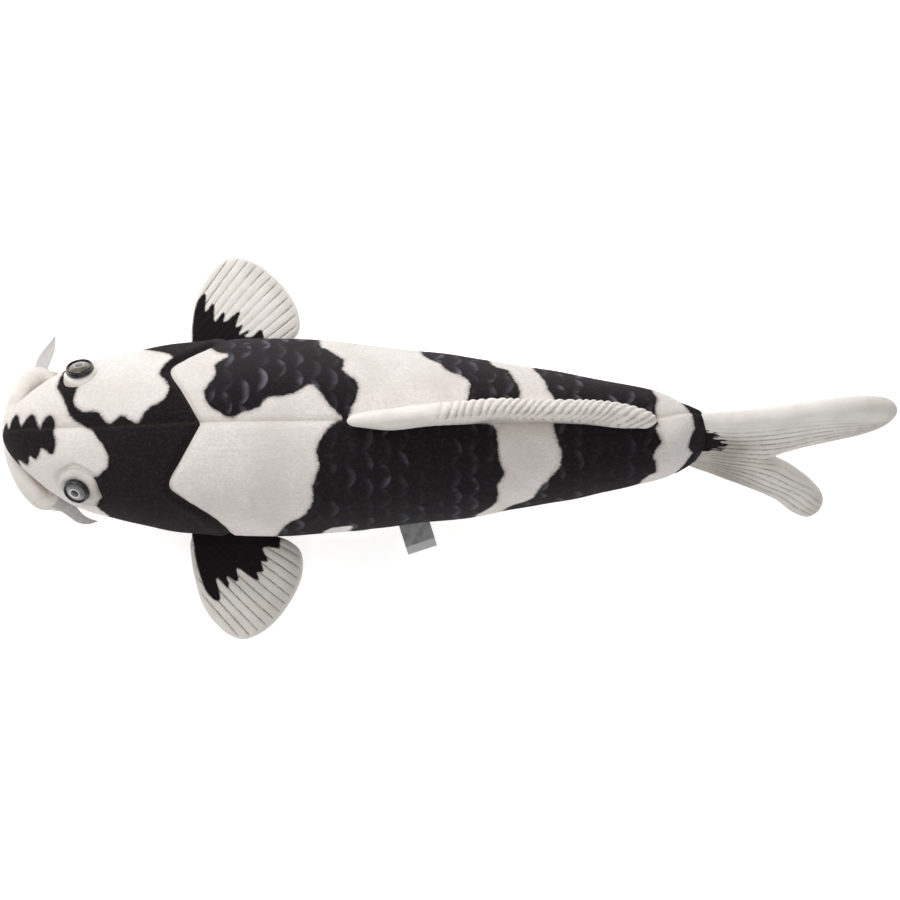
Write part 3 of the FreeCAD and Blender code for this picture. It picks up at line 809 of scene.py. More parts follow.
def printed_plush():
    """The trunk's cloth: white with black patches, whose edges are fuzzy and faintly brown."""
    surface = Surface("printed_plush", 0.95, sheen=0.04, specular=0.1)
    rest, place = surface.vector_field("rest"), surface.vector_field("scale")
    hairs, tufts, pile = pile_height(surface, rest)
    fuzz = surface.noise(surface.stretched(rest, (0.5, 1, 1)), 1.7, 3.0, 0.7) * 2.4
    fuzz = fuzz + surface.noise(rest, 0.33) * 1.3 + -1.85
    inside = surface.field("black") + fuzz
    seam = surface.field("seam")

    wide = surface.noise(rest, 0.045)
    white = surface.toned(WHITE, WHITE_SHADE, wide, 0.35, 0.7, 0.5)
    white = surface.toned(white, WHITE_SHADE, hairs, 0.44, 0.62, 0.7)
    white = surface.toned(white, WHITE_SHADE, tufts, 0.42, 0.62, 0.35)
    edge = surface.between(inside, -2.4, -0.2) * surface.noise(rest, 0.5, 1.0)
    white = surface.mix(edge * 0.5, white, BROWN)
    white = surface.mix(seam * 0.22, white, BROWN)

    black = black_pile(surface, hairs)
    black = surface.toned(black, BLACK_WORN_AND_LIT, tufts, 0.45, 0.8, 0.4)
    kept = surface.between(surface.noise(rest, 0.06), 0.36, 0.62, 0.1, 1.0)
    scales = crescents(surface, place, rest) * kept
    round_back = surface.part(place, 1)
    # the scales are print, drawn stronger on the fish's right side as painted light, since the key light
    # falls there
    scale_print_and_lit_side = surface.between(round_back, -14.0, 30.0, 0.3, 0.72)
    behind_gill = surface.between(surface.part(rest, 0), -66.0, -58.0)
    # painted light: behind the gill the black grows paler towards the fish's right side, where the key light
    # falls
    lit_side_light = surface.between(round_back, 4.0, 34.0, 0.0, 0.5) * behind_gill
    black = surface.mix(lit_side_light, black, BLACK_WORN_AND_LIT)
    black = surface.mix(scale_print_and_lit_side * behind_gill * scales, black, SCALE_SHINE)
    black = surface.mix(seam * 0.07, black, BROWN)

    base = surface.mix(surface.between(inside, -0.75, 0.75), white, black)
    return surface.finish(base, pile * surface.between(seam, 0.0, 1.0, 1.0, 0.6), 0.8, 0.9)


def plain_plush(name, light, shade):
    surface = Surface(name, 0.95, sheen=0.05, specular=0.1)
    rest = surface.vector_field("rest")
    hairs, _, pile = pile_height(surface, rest)
    base = surface.toned(light, shade, hairs, 0.4, 0.7, 0.5)
    base = surface.toned(base, shade, surface.noise(rest, 0.12), 0.4, 0.7, 0.5)
    # painted shade in creases: where the lip rolls tuck against the head, and in the groove round each eye
    # pad
    base = surface.mix(surface.field("crease_shade") * 0.55, base, colour(168, 138, 122))
    return surface.finish(base, pile, 0.5, 0.6)


def fin_plush(name, line_wide, line_dark, shadow_wide, faint, fray):
    """Thin plush on the fins: printed rays with a painted soft shadow to one side, and dark root patches."""
    surface = Surface(name, 0.95, sheen=0.05, specular=0.1)
    rest = surface.vector_field("rest")
    hairs, _, pile = pile_height(surface, rest, (1.3, 1.3, 1.3))
    base = surface.toned(FIN, FIN_SHADE, hairs, 0.4, 0.7, 0.45)
    base = surface.toned(base, FIN_SHADE, surface.noise(rest, 0.09), 0.4, 0.7, 0.45)

    wander = (surface.noise(rest, 0.8) - 0.5) * 0.7
    count = surface.field("ray")
    ray = (count - surface.math("ROUND", count)) * surface.field("gap") + wander
    line = surface.between(surface.math("ABSOLUTE", ray), line_wide, line_wide * 0.35)
    broken = surface.between(surface.noise(rest, 0.25), 0.36, 0.6, faint, 1.0)
    # painted shadow along one side of each ray
    soft = surface.between(ray, -shadow_wide, 0.0) * surface.between(ray, 0.25, 0.0)
    reach = surface.field("ray_share")
    base = surface.mix(soft * reach * 0.42, base, BROWN)
    base = surface.mix(line * broken * reach * line_dark, base, colour(92, 80, 74))
    base = surface.mix(surface.field("shade"), base, colour(142, 132, 122))

    fuzz = (surface.noise(rest, 1.6, 3.0, 0.7) - 0.5) * 1.8
    hair = surface.noise(surface.stretched(rest, (0.1, 1.0, 1.0)), 1.5) - 0.5
    root = surface.between(surface.field("black") + (fuzz + hair * fray), -0.5, 0.5)
    return surface.finish(surface.mix(root, base, black_pile(surface, hairs)), pile, 0.45, 0.5)


def gathered_plush():
    """The dorsal fin's cloth, with painted shade here and there in the folds between its pleats."""
    surface = Surface("gathered_plush", 0.95, sheen=0.05, specular=0.1)
    rest = surface.vector_field("rest")
    hairs, _, pile = pile_height(surface, rest, (1.2, 1.2, 1.2))
    base = surface.toned(GATHER, GATHER_SHADE, hairs, 0.42, 0.64, 0.8)
    wide = surface.noise(rest, 0.14)
    base = surface.toned(base, GATHER_SHADE, wide, 0.4, 0.65, 0.5)
    crease_shade = surface.field("crease_shade")
    broken = surface.between(surface.noise(rest, 0.3, 3.0, 0.7), 0.41, 0.53)
    # painted shade in the valleys between the pleats, darkest in broken streaks
    base = surface.mix(crease_shade * 0.3, base, colour(160, 144, 134))
    base = surface.mix(crease_shade * broken * 0.95, base, colour(62, 52, 48))
    return surface.finish(base, pile, 0.75, 0.8)


def grey_felt():
    surface = Surface("grey_felt", 0.95, sheen=0.1, specular=0.15)
    rest = surface.vector_field("rest")
    fibres = surface.noise(surface.stretched(rest, (1.0, 2.6, 1.0)), 1.9, 4.0, 0.7)
    clumps = surface.noise(rest, 0.5)
    base = surface.mix(surface.between(fibres, 0.38, 0.65), colour(232, 229, 226), colour(200, 197, 195))
    # painted shade, much stronger on the left barbel, which lies away from the key light
    base = surface.mix(surface.field("dark") * 0.8, base, colour(168, 165, 163))
    base = surface.toned(base, colour(235, 233, 230), clumps, 0.4, 0.7, 0.3)
    return surface.finish(base, fibres + clumps, 0.6, 0.5)


def eye_plastic():
    surface = Surface("eye_plastic", 0.28, coat=0.5)
    rest = surface.vector_field("rest")
    scuffs = surface.noise(rest, 1.1, 3.0)
    base = surface.mix(surface.between(scuffs, 0.4, 0.7), colour(20, 19, 20), colour(44, 42, 42))
    roughness = surface.between(scuffs, 0.35, 0.7, 0.2, 0.42)
    return surface.finish(base, surface.noise(rest, 2.5), 0.12, 0.1, roughness)


def iris_plastic(name, inner, outer, pale_ring):
    """A painted iris: pupil, a pale ring, and fine rings that break up towards the rim."""
    surface = Surface(name, 0.3, coat=1.0)
    rest, away = surface.vector_field("rest"), surface.field("away")
    rings = surface.math("SINE", away * 6.8) + surface.noise(rest, 1.1, 3.0) * 1.5
    base = surface.mix(surface.between(away, 2.0, 5.2), inner, outer)
    base = surface.toned(base, colour(66, 60, 54), rings, 0.2, 1.5, 0.65)
    pale = surface.between(away, 2.0, 2.2) * surface.between(away, 2.85, 2.6)
    base = surface.mix(pale * pale_ring, base, colour(226, 224, 220))
    base = surface.mix(surface.between(away, 2.05, 1.85), base, colour(26, 25, 26))
    base = surface.mix(surface.between(away, 4.9, 5.5), base, colour(24, 22, 22))
    return surface.finish(base, rings, 0.15, 0.08)


def washer_plastic():
    surface = Surface("washer_plastic", 0.45)
    grain = surface.noise(surface.object_place(), 900.0)
    base = surface.mix(grain, colour(228, 226, 220), colour(208, 205, 198))
    return surface.finish(base, grain, 0.1, 0.1)


WARP_STEP = 0.42
WEFT_STEP = 0.3


def satin_ribbon():
    surface = Surface("satin_ribbon", 0.42, sheen=0.2)
    place = surface.vector_field("weave")
    warp = surface.math("SINE", surface.part(place, 0) * (2 * math.pi / WARP_STEP))
    weft = surface.math("SINE", surface.part(place, 1) * (2 * math.pi / WEFT_STEP))
    weave = warp * 0.6 + weft * 0.4
    cloudy = surface.noise(place, 0.25, 3.0)
    base = surface.mix(surface.between(cloudy, 0.35, 0.7), colour(172, 172, 174), colour(138, 137, 141))
    base = surface.mix(surface.between(weave, -1.0, 1.0, 0.0, 0.25), base, colour(96, 95, 100))
    # painted highlight in a band along the ribbon's fold
    base = surface.mix(surface.field("fold"), base, colour(226, 226, 228))
    return surface.finish(base, weave, 0.25, 0.08)


def sewing_thread():
    surface = Surface("sewing_thread", 0.7, sheen=0.2)
    ply = surface.noise(surface.stretched(surface.vector_field("rest"), (1.0, 1.0, 3.0)), 3.0)
    return surface.finish(surface.mix(ply, colour(236, 232, 226), colour(190, 184, 178)), ply, 0.5, 0.15)


def studio_floor():
    surface = Surface("studio_floor", 0.9)
    haze = surface.noise(surface.object_place(), 3.0)
    surface.shader.inputs["Emission Color"].default_value = (1, 1, 1, 1)
    surface.shader.inputs["Emission Strength"].default_value = 0.55
    return surface.finish(surface.mix(haze, colour(252, 252, 252), colour(250, 250, 250)))


PRINTED = printed_plush()
CREAM_PLUSH = plain_plush("cream_plush", CREAM, CREAM_SHADE)
# The left pad is a darker copy of the same plush: painted shade on the side away from the key light.
PAD_PLUSH = {
    "left": plain_plush("pad_plush_left_shaded", colour(212, 207, 202), colour(180, 174, 169)),
    "right": plain_plush("pad_plush_right", colour(244, 239, 234), colour(214, 206, 201)),
}
PECTORAL_PLUSH = fin_plush("pectoral_plush", 0.34, 0.78, 1.1, faint=0.35, fray=0.0)
TAIL_PLUSH = fin_plush("tail_plush", 0.5, 0.5, 1.2, faint=0.0, fray=9.0)
GATHERED = gathered_plush()
FELT = grey_felt()
EYE_BLACK = eye_plastic()
IRIS = {
    "left": iris_plastic("iris_grey", colour(160, 162, 165), colour(116, 119, 124), 0.85),
    "right": iris_plastic("iris_brown", colour(118, 110, 88), colour(80, 70, 56), 0.25),
}
WASHER = washer_plastic()
RIBBON = satin_ribbon()
THREAD = sewing_thread()
FLOOR = studio_floor()


# ---- skin ------------------------------------------------------------------------------------------


def build_skin():
    under = 180 + BELLY_SEAM
    swelling = stuff_skin()
    jobs = [
        ("head_panel_right_cloth", "head", -BELLY_SEAM, 90, 112, 116, ["head_panel_right"]),
        ("head_panel_left_cloth", "head", 90, under, 112, 116, ["head_panel_left"]),
        ("back_panel_right_cloth", "back", -BELLY_SEAM, 90, 112, 250, ["back_panel_right"]),
        ("back_panel_left_cloth", "back", 90, under, 112, 250, ["back_panel_left"]),
        ("head_underside_cloth", "head_below", under, 360 - BELLY_SEAM, 72, 80, ["head_underside_panel"]),
        ("belly_panel_cloth", "belly", under, 360 - BELLY_SEAM, 80, 200, ["belly_panel", "body_filling"]),
    ]
    for name, part, low, high, columns, rows, nodes in jobs:
        panel(name, part, low, high, columns, rows, PRINTED, nodes, swelling)


# ---- eyes ------------------------------------------------------------------------------------------


TURNED_COUNT = 72


def lathe(name, profile, at, material):
    """A turned shape round an eye's axis. profile is (radius, height) from its foot to its middle."""
    r, z = (np.array(profile)[:, k][:, None] for k in (0, 1))
    angle = circle(TURNED_COUNT)[None, :]
    local = np.stack([r * np.cos(angle), r * np.sin(angle), z + 0 * angle], axis=-1).reshape(-1, 3)
    faces = grid_faces(len(profile), TURNED_COUNT, wrap=True)
    faces.append(list(range(TURNED_COUNT))[::-1])
    faces.append(list(range(len(local) - TURNED_COUNT, len(local))))
    fields = {"away": np.hypot(local[:, 0], local[:, 1])}
    return make_mesh(name, place(local, at), faces, material, fields, sharp=40)


def build_eye_pad(side, at):
    """The raised oval of plush under the button, dished where the button presses on it."""
    rings, count = 26, 96
    share = np.linspace(0.3, 1.0, rings)[:, None]
    angle = circle(count)[None, :]
    reach = pad_reach(angle, side) * share
    x, y = reach * np.cos(angle), reach * np.sin(angle)
    rise = EYE_PROUD * (1 - smooth_step(share, 0.74, 1.04)) - 0.35 * (1 - smooth_step(share, 0.5, 0.68))
    rise = rise + 0.16 * ripple(x / 1.6, y / 1.6, 5) * smooth_step(share, 0.6, 0.8)
    fall = -2.6 * smooth_step(share, 0.9, 1.0) - 0.05 * y**2 * share
    local = np.stack([x, y, rise + fall], axis=-1)
    under = local.copy()
    under[..., 2] -= 2.0
    both = np.concatenate([local, under[::-1]])
    flat = both.reshape(-1, 3)
    faces = grid_faces(2 * rings, count, wrap=True)
    last = (2 * rings - 1) * count
    for k in range(count):
        faces.append([(k + 1) % count, k, last + k, last + (k + 1) % count])
    # painted shade in the groove round the pad's rim
    fields = {"crease_shade": 0.6 * hill(pad_share(flat, side) - 0.97, 0.07)}
    pad = make_mesh(f"eye_pad_{side}_plush", place(flat, at), faces, PAD_PLUSH[side], fields)
    settle(pad, "trunk", [f"eye_pad_{side}"], "cream_plush", fill=0.8)


def build_eye_button(side, at, top):
    """The black button: shank, rounded edge, a groove round its waist, and a seat for the iris."""
    low, r = EYE_PROUD - 0.7, EYE_RADIUS[side]
    foot, lip = 0.9, 0.55       # radii of the button's rounded edges, below and above
    quarter = np.linspace(0.2, 1.57, 6)
    profile = [(2.0, low - 12.3), (2.0, low), (r - foot, low)]
    profile += [(r - foot + foot * math.sin(a), low + foot - foot * math.cos(a)) for a in quarter]
    profile += [(r, low + 1.5), (r - 0.35, low + 1.62), (r - 0.4, low + 1.8), (r - 0.3, low + 1.95)]
    profile += [(r - 0.3 - lip + lip * math.cos(a), top - lip + lip * math.sin(a)) for a in quarter]
    profile += [(r - 1.05, top - 0.02), (r - 1.2, top - 0.2), (r - 1.2, top - 0.75), (0.4, top - 0.9)]
    button = lathe(f"eye_button_{side}_turned", profile, at, EYE_BLACK)
    settle(button, "trunk", [f"eye_button_{side}"], "eye_plastic")


def build_eye_lens(side, at, top):
    """The painted iris, a shallow dome set into the button."""
    wide, tall = EYE_RADIUS[side] - 1.25, 1.35
    ball = (wide**2 + tall**2) / (2 * tall)
    dome = [(d, top - 0.8 + tall - ball + math.sqrt(ball**2 - d**2)) for d in np.linspace(wide, 0.15, 26)]
    lens = lathe(f"eye_lens_{side}_iris", [(wide - 0.3, top - 1.3)] + dome, at, IRIS[side])
    settle(lens, "trunk", [f"eye_lens_{side}"], "iris_plastic")


def build_eye(side):
    at, top = eye_axes(side), EYE_PROUD + EYE_HEIGHT
    build_eye_pad(side, at)
    build_eye_button(side, at, top)
    build_eye_lens(side, at, top)


# ---- mouth and barbels -----------------------------------------------------------------------------

LIP_RIGHT = [(-163.2, 0.0), (-161.8, 12.6), (-158.4, 22.8), (-153.2, 29.6), (-149.6, 31.2), (-146.0, 29.8)]
LIP_LEFT = [(-163.2, 0.0), (-160.4, 12.4), (-155.4, 22.6), (-148.6, 29.6), (-144.6, 31.0), (-141.4, 29.6)]
LIP_SWAY = 2.0
LIP_FALL = 6.0
LIP_DEEP = 28.4


def roll(name, radius, height, back, seed, nodes):
    """A stuffed roll of plush round the mouth, fuller at its corners."""
    right = [(x + back, LIP_SWAY + y, height - LIP_FALL * (y / LIP_DEEP) ** 2) for x, y in LIP_RIGHT]
    left = [(x + back, LIP_SWAY - y, height - LIP_FALL * (y / LIP_DEEP) ** 2) for x, y in LIP_LEFT[:0:-1]]
    rows, count = 150, 48
    line = smooth_line(left + right, rows)
    way = unit(np.gradient(line, axis=0))
    up = unit(np.cross(way, np.cross([0.0, 0, 1], way)))
    side = np.cross(up, way)
    t = np.linspace(-1, 1, rows)
    run = np.linalg.norm(np.diff(line, axis=0), axis=1).sum() / 2
    full = radius * (1.0 + 0.14 * hill(np.abs(t) - 0.76, 0.2) - 0.1 * hill(t, 0.12))
    full = full * (1 + 0.022 * np.sin(9 * t + seed) + 0.012 * np.sin(23 * t + 2 * seed))
    ends = np.clip((1 - np.abs(t)) * run / (2.0 * radius), 0, 1)
    full = full * np.sqrt(1 - (1 - ends) ** 2 * 0.96)
    tip = (np.sign(t) * 0.55 * radius * (1 - ends) ** 1.5)[:, None] * way
    angle = circle(count)
    wrinkle = 1 + 0.03 * np.sin(9 * angle[None, :] + 30 * t[:, None]) * hill(np.abs(t) - 0.9, 0.1)[:, None]
    ring = full[:, None] * wrinkle
    c, s = np.cos(angle)[None, :, None], np.sin(angle)[None, :, None]
    points = (line + tip)[:, None, :] + ring[..., None] * (c * side[:, None, :] + s * up[:, None, :])
    faces = grid_faces(rows, count, wrap=True)
    faces = [f[::-1] for f in faces]
    faces.append(list(range(count)))
    faces.append(list(range((rows - 1) * count, rows * count))[::-1])
    # painted shade where the roll tucks in against the head, and in a crease by each corner
    inward = (points[..., 0] - line[:, None, 0]) / radius
    fold = hill(np.abs(t[:, None]) - 0.8 + 0.03 * np.sin(2 * angle), 0.012)
    crease_shade = 0.8 * smooth_step(inward, 0.45, 1.0) + 0.3 * fold
    flat = points.reshape(-1, 3)
    piece = make_mesh(name, flat, faces, CREAM_PLUSH, {"crease_shade": np.clip(crease_shade, 0, 1).ravel()})
    settle(piece, "trunk", nodes, "cream_plush", fill=0.85)


BARBELS = {
    "left": [(-144.6, -28.0), (-140.0, -30.2), (-134.4, -33.4), (-128.6, -36.8), (-121.0, -38.9)],
    "right": [(-151.6, 32.2), (-149.6, 36.0), (-148.0, 41.2), (-146.2, 46.8), (-143.2, 52.0)],
}
BARBEL_Z = 28.0
BARBEL_WIDE = 6.2


def build_barbel(side):
    """A tapered strip of felt, waved and a little twisted."""
    rows, columns = 70, 13
    line = smooth_line(BARBELS[side], rows)
    way = unit(np.gradient(line, axis=0))
    across = np.stack([-way[:, 1], way[:, 0]], axis=1)
    share = np.linspace(0, 1, rows)
    half = BARBEL_WIDE / 2 * (0.9 + 0.2 * np.sin(3.4 * share)) * (1 - share**3.0) ** 0.8
    half = np.maximum(half, 0.12)
    line = line + across * (1.3 * np.sin(2 * math.pi * share) * share)[:, None]
    u = np.linspace(-1, 1, columns)
    flat = line[:, None, :] + across[:, None, :] * (half[:, None] * u)[..., None]
    sway = 0.9 * np.sin(share * 5.2 + (0.4 if side == "left" else 2.2))[:, None] * share[:, None]
    curl = 0.9 * (u[None, :] ** 2) * share[:, None] + 0.6 * u[None, :] * np.sin(3 * share)[:, None]
    mid = BARBEL_Z + sway + curl * 0.8
    grids = []
    for sign in (1, -1):
        z = mid + sign * 0.5 * np.sqrt(1 - 0.75 * np.abs(u[None, :]) ** 6)
        grids.append(np.concatenate([flat, z[..., None]], axis=2))
    # painted shade: the left barbel is darkened far more than the right
    dark = np.full(rows * columns, 0.75 if side == "left" else 0.12)
    piece = shell(f"barbel_{side}_felt", grids[0], grids[1], FELT, {"dark": dark})
    start, end = line[int(0.12 * rows)], line[int(0.36 * rows)]
    joined = ((start[0], start[1], BARBEL_Z), (end[0], end[1], BARBEL_Z))
    settle(piece, f"{side}_barbel", [f"barbel_{side}"], "grey_felt", joined)


# ---- fins ------------------------------------------------------------------------------------------


def fin_points(loop, spacing, insets):
    """Points over a fin's outline: its rim, rings close inside the rim, and an even field."""
    layers = [loop]
    way = unit(np.roll(loop, -1, axis=0) - np.roll(loop, 1, axis=0))
    inward = np.stack([-way[:, 1], way[:, 0]], axis=1)
    if inside_distance(loop, loop + inward * 0.05).mean() < 0:
        inward = -inward
    for inset in insets:
        ring = loop + inward * inset
        ring = ring[inside_distance(loop, ring) > 0.93 * inset]
        layers.append(ring)
    low, high = loop.min(0), loop.max(0)
    rows = np.arange(low[1], high[1], spacing * 0.866)
    field = []
    for k, b in enumerate(rows):
        a = np.arange(low[0] + (k % 2) * spacing / 2, high[0], spacing)
        field.append(np.stack([a, np.full_like(a, b)], axis=1))
    field = np.concatenate(field)
    field = field[inside_distance(loop, field) > insets[-1] + 0.5 * spacing]
    layers.append(field)
    points = np.concatenate(layers)
    corners = [Vector(p) for p in points.tolist()]
    edges = [(k, (k + 1) % len(loop)) for k in range(len(loop))]
    flat, _, faces, _, _, _ = delaunay_2d_cdt(corners, edges, [list(range(len(loop)))], 1, 1e-5)
    flat = np.array([(p.x, p.y) for p in flat])
    depth = np.maximum(inside_distance(loop, flat), 0)
    depth[depth < 1e-3] = 0
    return flat, [list(f) for f in faces], depth


def rim_profile(depth, radius):
    return np.sqrt(1 - (1 - np.minimum(depth / radius, 1)) ** 2)


def normals(points, faces):
    out = np.zeros_like(points)
    tri = np.array(faces)
    flat = np.cross(points[tri[:, 1]] - points[tri[:, 0]], points[tri[:, 2]] - points[tri[:, 0]])
    for k in range(3):
        np.add.at(out, tri[:, k], flat)
    return unit(out)


def fin_covers(loop, spacing, insets, height, relief, fields, at, jobs, thin=0.8, drift=None):
    """The two covers of a sewn fin. Each job is (sign, name, material, settings); sign +1 is local +z."""
    flat, faces, depth = fin_points(loop, spacing, insets)
    faces = [f if np.cross(flat[f[1]] - flat[f[0]], flat[f[2]] - flat[f[0]]) > 0 else f[::-1] for f in faces]
    rim = depth == 0
    lift = np.where(rim, 0, height(flat, depth))
    aside = drift(flat) if drift else np.zeros(len(flat))
    shapes = {}
    for sign in (1, -1):
        points = np.concatenate([flat, (aside + sign * lift)[:, None]], axis=1)
        shapes[sign] = points, normals(points, faces) * sign
    mean = unit(shapes[1][1] + shapes[-1][1])
    for sign, name, material, settings in jobs:
        points, out = shapes[sign]
        out = np.where(rim[:, None], mean, out)
        outer = points + out * relief(flat, depth, sign)[:, None]
        inner = outer.copy()
        inner[:, 2] = np.where(rim, outer[:, 2], aside + sign * np.maximum(lift - thin, 0))
        solid = np.concatenate([outer, inner[~rim]])
        number = np.arange(len(flat))
        number[~rim] = len(flat) + np.arange((~rim).sum())
        turned = [f if sign > 0 else f[::-1] for f in faces]
        back = [[int(number[i]) for i in f[::-1]] for f in turned]
        back = [b for b, f in zip(back, turned) if set(b) != set(f)]
        values = {k: f(flat, depth, sign) for k, f in fields.items()}
        values = {k: np.concatenate([v, v[~rim]]) for k, v in values.items()}
        piece = make_mesh(name, place(solid, at), turned + back, material, values, sharp=80)
        settle(piece, **settings)


def cover_jobs(stem, first, faces, material, common, batting=True):
    """The settings of a fin's two covers. The first, on the side whose sign is first, holds the batting."""
    jobs = []
    for sign, face in zip((first, -first), faces):
        nodes = [f"{stem}_{face}_cover"]
        if batting and sign == first:
            nodes.append(f"{stem}_batting")
        jobs.append((sign, f"{stem}_{face}_cloth", material, {**common, "nodes": nodes}))
    return jobs


def root_line(at, along, low, high):
    """The two ends of the stretch over which a fin's root bends."""
    return tuple(place([[along, v, 0]], at)[0] for v in (low, high))


def side_fin_axes(at, droop, turn, sign):
    d, t = math.radians(droop), math.radians(turn)
    along = (math.cos(t), -sign * math.sin(t), 0)
    out = (math.sin(t) * math.cos(d), sign * math.cos(t) * math.cos(d), -math.sin(d))
    return axes((at[0], sign * at[1], at[2]), along, out)


PECTORAL = [
    (-19.0, 4.2), (-19.2, 9.6), (-17.2, 22.6), (-12.6, 37.1), (-3.0, 48.6), (7.0, 52.6), (18.8, 47.2),
    (28.6, 36.0), (35.0, 22.6), (35.0, 10.6), (29.0, 4.6), (20.0, 1.0), (15.0, -4.5), (-15.0, -4.5),
]
PECTORAL_AT = (-57.5, 42.6, 16.8)
PECTORAL_TURN = {"left": 0.0, "right": -8.0}
ROOT_BLACK = {
    "left": [
        (-16.9, -8.0), (-17.3, 7.9), (-15.8, 16.5), (-12.4, 27.0), (-9.4, 31.8), (-5.6, 34.1),
        (-4.3, 32.4), (-6.2, 22.5), (-0.8, 27.7), (0.0, 25.9), (-1.3, 21.7), (3.0, 24.5), (4.6, 23.2),
        (3.7, 18.0), (10.8, 22.5), (14.2, 24.0), (14.7, 23.2), (13.6, 20.1), (16.0, 19.9), (16.8, 18.8),
        (15.6, 14.7), (18.3, 15.0), (18.8, 13.7), (16.4, 7.9), (24.2, 8.3), (24.6, 7.2), (23.1, -8.0),
    ],
    "right": [
        (-18.2, -8.0), (-18.0, 12.7), (-16.5, 22.4), (-13.9, 30.3), (-10.2, 34.8), (-8.5, 34.3),
        (-9.7, 25.6), (-5.9, 29.4), (-5.0, 28.2), (-5.8, 20.0), (-1.1, 24.1), (-0.3, 22.6), (-1.2, 18.8),
        (7.3, 23.5), (4.2, 15.7), (7.8, 16.2), (5.3, 11.4), (10.1, 13.2), (10.3, 11.9), (7.9, 10.2),
        (11.8, 9.6), (15.3, 12.2), (17.1, 10.9), (15.7, -8.0),
    ],
}
FAN_AT = (-93.0, -62.0)     # the rays spread from here
FAN_FIRST = 51.0            # the angle of the first ray, and the angle between two rays, in degrees
FAN_STEP = 1.72


def build_pectoral(side, sign):
    at = side_fin_axes(PECTORAL_AT, 6.0, PECTORAL_TURN[side], sign)
    loop = smooth_line(PECTORAL, 300, closed=True)
    black = smooth_line(ROOT_BLACK[side], 160, closed=True)

    def nearest_ray(flat):
        far = flat - FAN_AT
        turn = np.degrees(np.arctan2(far[:, 1], far[:, 0]))
        count = (FAN_FIRST - turn) / FAN_STEP + 0.12 * ripple(flat[:, 0] / 9, flat[:, 1] / 9, 4)
        gap = np.hypot(far[:, 0], far[:, 1]) * math.radians(FAN_STEP)
        return np.where(count > -0.5, (count - np.round(count)) * gap, gap / 2), count, gap

    def height(flat, depth):
        crown = 0.82 + 0.18 * smooth_step(depth, 0, 14)
        root = 0.72 + 0.28 * smooth_step(flat[:, 1], -3, 9)
        return 3.0 * rim_profile(depth, 3.0) * crown * root

    def relief(flat, depth, face):
        away, count, _ = nearest_ray(flat)
        reach = smooth_step(flat[:, 1], 2, 9) * smooth_step(depth, 0.2, 1.6) * smooth_step(count, -0.5, 0.1)
        quilt = -0.38 * hill(away, 0.5) - 0.25 * hill(away, 1.3) + 0.12
        tip = 0.12 * ripple(flat[:, 0] / 2.2, flat[:, 1] / 2.2, 7)
        deep = 1.0 if side == "left" else 0.5
        return deep * quilt * reach + tip * smooth_step(depth, 0, 2)

    def ray_share(flat, depth, face):
        count = nearest_ray(flat)[1]
        clear = smooth_step(depth, 0.8, 2.6) * smooth_step(count, -0.5, -0.2)
        return clear * (1.0 if side == "left" else 0.3 + 0.7 * hill(depth - 5, 6))

    def shade(flat, depth, face):
        count = nearest_ray(flat)[1]
        return 0.16 * hill(depth - 3.5, 4.5) * smooth_step(count, 1, 4) * smooth_step(depth, 0.2, 1.5)

    fields = {
        "ray": lambda flat, depth, face: nearest_ray(flat)[1],
        "gap": lambda flat, depth, face: nearest_ray(flat)[2],
        "ray_share": ray_share,
        "shade": shade,
        "black": lambda flat, depth, face: inside_distance(black, flat),
    }
    top = 1 if at[1][2][2] > 0 else -1
    stem = f"pectoral_fin_{side}"
    common = {"body": stem, "slot": "fin_plush", "joined": root_line(at, 0, -2.0, 7.0), "fill": 0.55}
    jobs = cover_jobs(stem, top, ("upper", "lower"), PECTORAL_PLUSH, common)
    fin_covers(loop, 0.62, (0.12, 0.4, 0.85, 1.4), height, relief, fields, at, jobs)


PELVIC = [
    (-10.0, 2.0), (-8.8, 6.2), (-4.0, 9.8), (5.0, 12.0), (16.0, 12.4), (24.5, 10.0), (25.4, 6.2),
    (18.0, 2.4), (10.0, -2.0), (-7.0, -2.5),
]
PELVIC_AT = (-10.0, 28.8, 6.4)
ANAL = [
    (-12.0, 1.8), (-9.5, 6.0), (-3.0, 11.0), (6.0, 14.2), (15.0, 14.0), (19.0, 9.5), (16.5, 4.6),
    (12.0, 0.0), (8.0, -3.0), (-8.0, -3.0),
]
ANAL_AT = (112.0, -4.2, 14.6)
SMALL_FIN_GAP = 2.4     # between two rays


def small_fin(stem, outline, at, half, root_end, first, faces, lean):
    """A thin padded fin with a few sewn rays."""
    loop = smooth_line(outline, 170, closed=True)
    slope = math.radians(lean)

    def count(flat):
        return (flat[:, 0] * math.sin(slope) - flat[:, 1] * math.cos(slope)) / SMALL_FIN_GAP

    def away(flat):
        return (count(flat) - np.round(count(flat))) * SMALL_FIN_GAP

    def height(flat, depth):
        return half * rim_profile(depth, half) * (0.8 + 0.2 * smooth_step(depth, 0, 6))

    def relief(flat, depth, face):
        reach = smooth_step(depth, 0.3, 1.4) * smooth_step(flat[:, 1], 2, 5)
        return (-0.4 * hill(away(flat), 0.45) + 0.08) * reach

    def ray_share(flat, depth, face):
        return 0.6 * smooth_step(depth, 0.3, 1.5) * smooth_step(flat[:, 1], 2, 5)

    fields = {
        "ray": lambda flat, depth, face: count(flat),
        "gap": lambda flat, depth, face: np.full(len(flat), SMALL_FIN_GAP),
        "ray_share": ray_share,
        "shade": lambda flat, depth, face: 0.1 * hill(depth - 2, 2),
        "black": lambda flat, depth, face: np.full(len(flat), -30.0),
    }
    common = {"body": stem, "slot": "fin_plush", "joined": root_line(at, 0, -1.0, root_end), "fill": 0.4}
    jobs = cover_jobs(stem, first, faces, PECTORAL_PLUSH, common, batting=False)
    fin_covers(loop, 0.6, (0.1, 0.35, 0.75), height, relief, fields, at, jobs, thin=0.5)


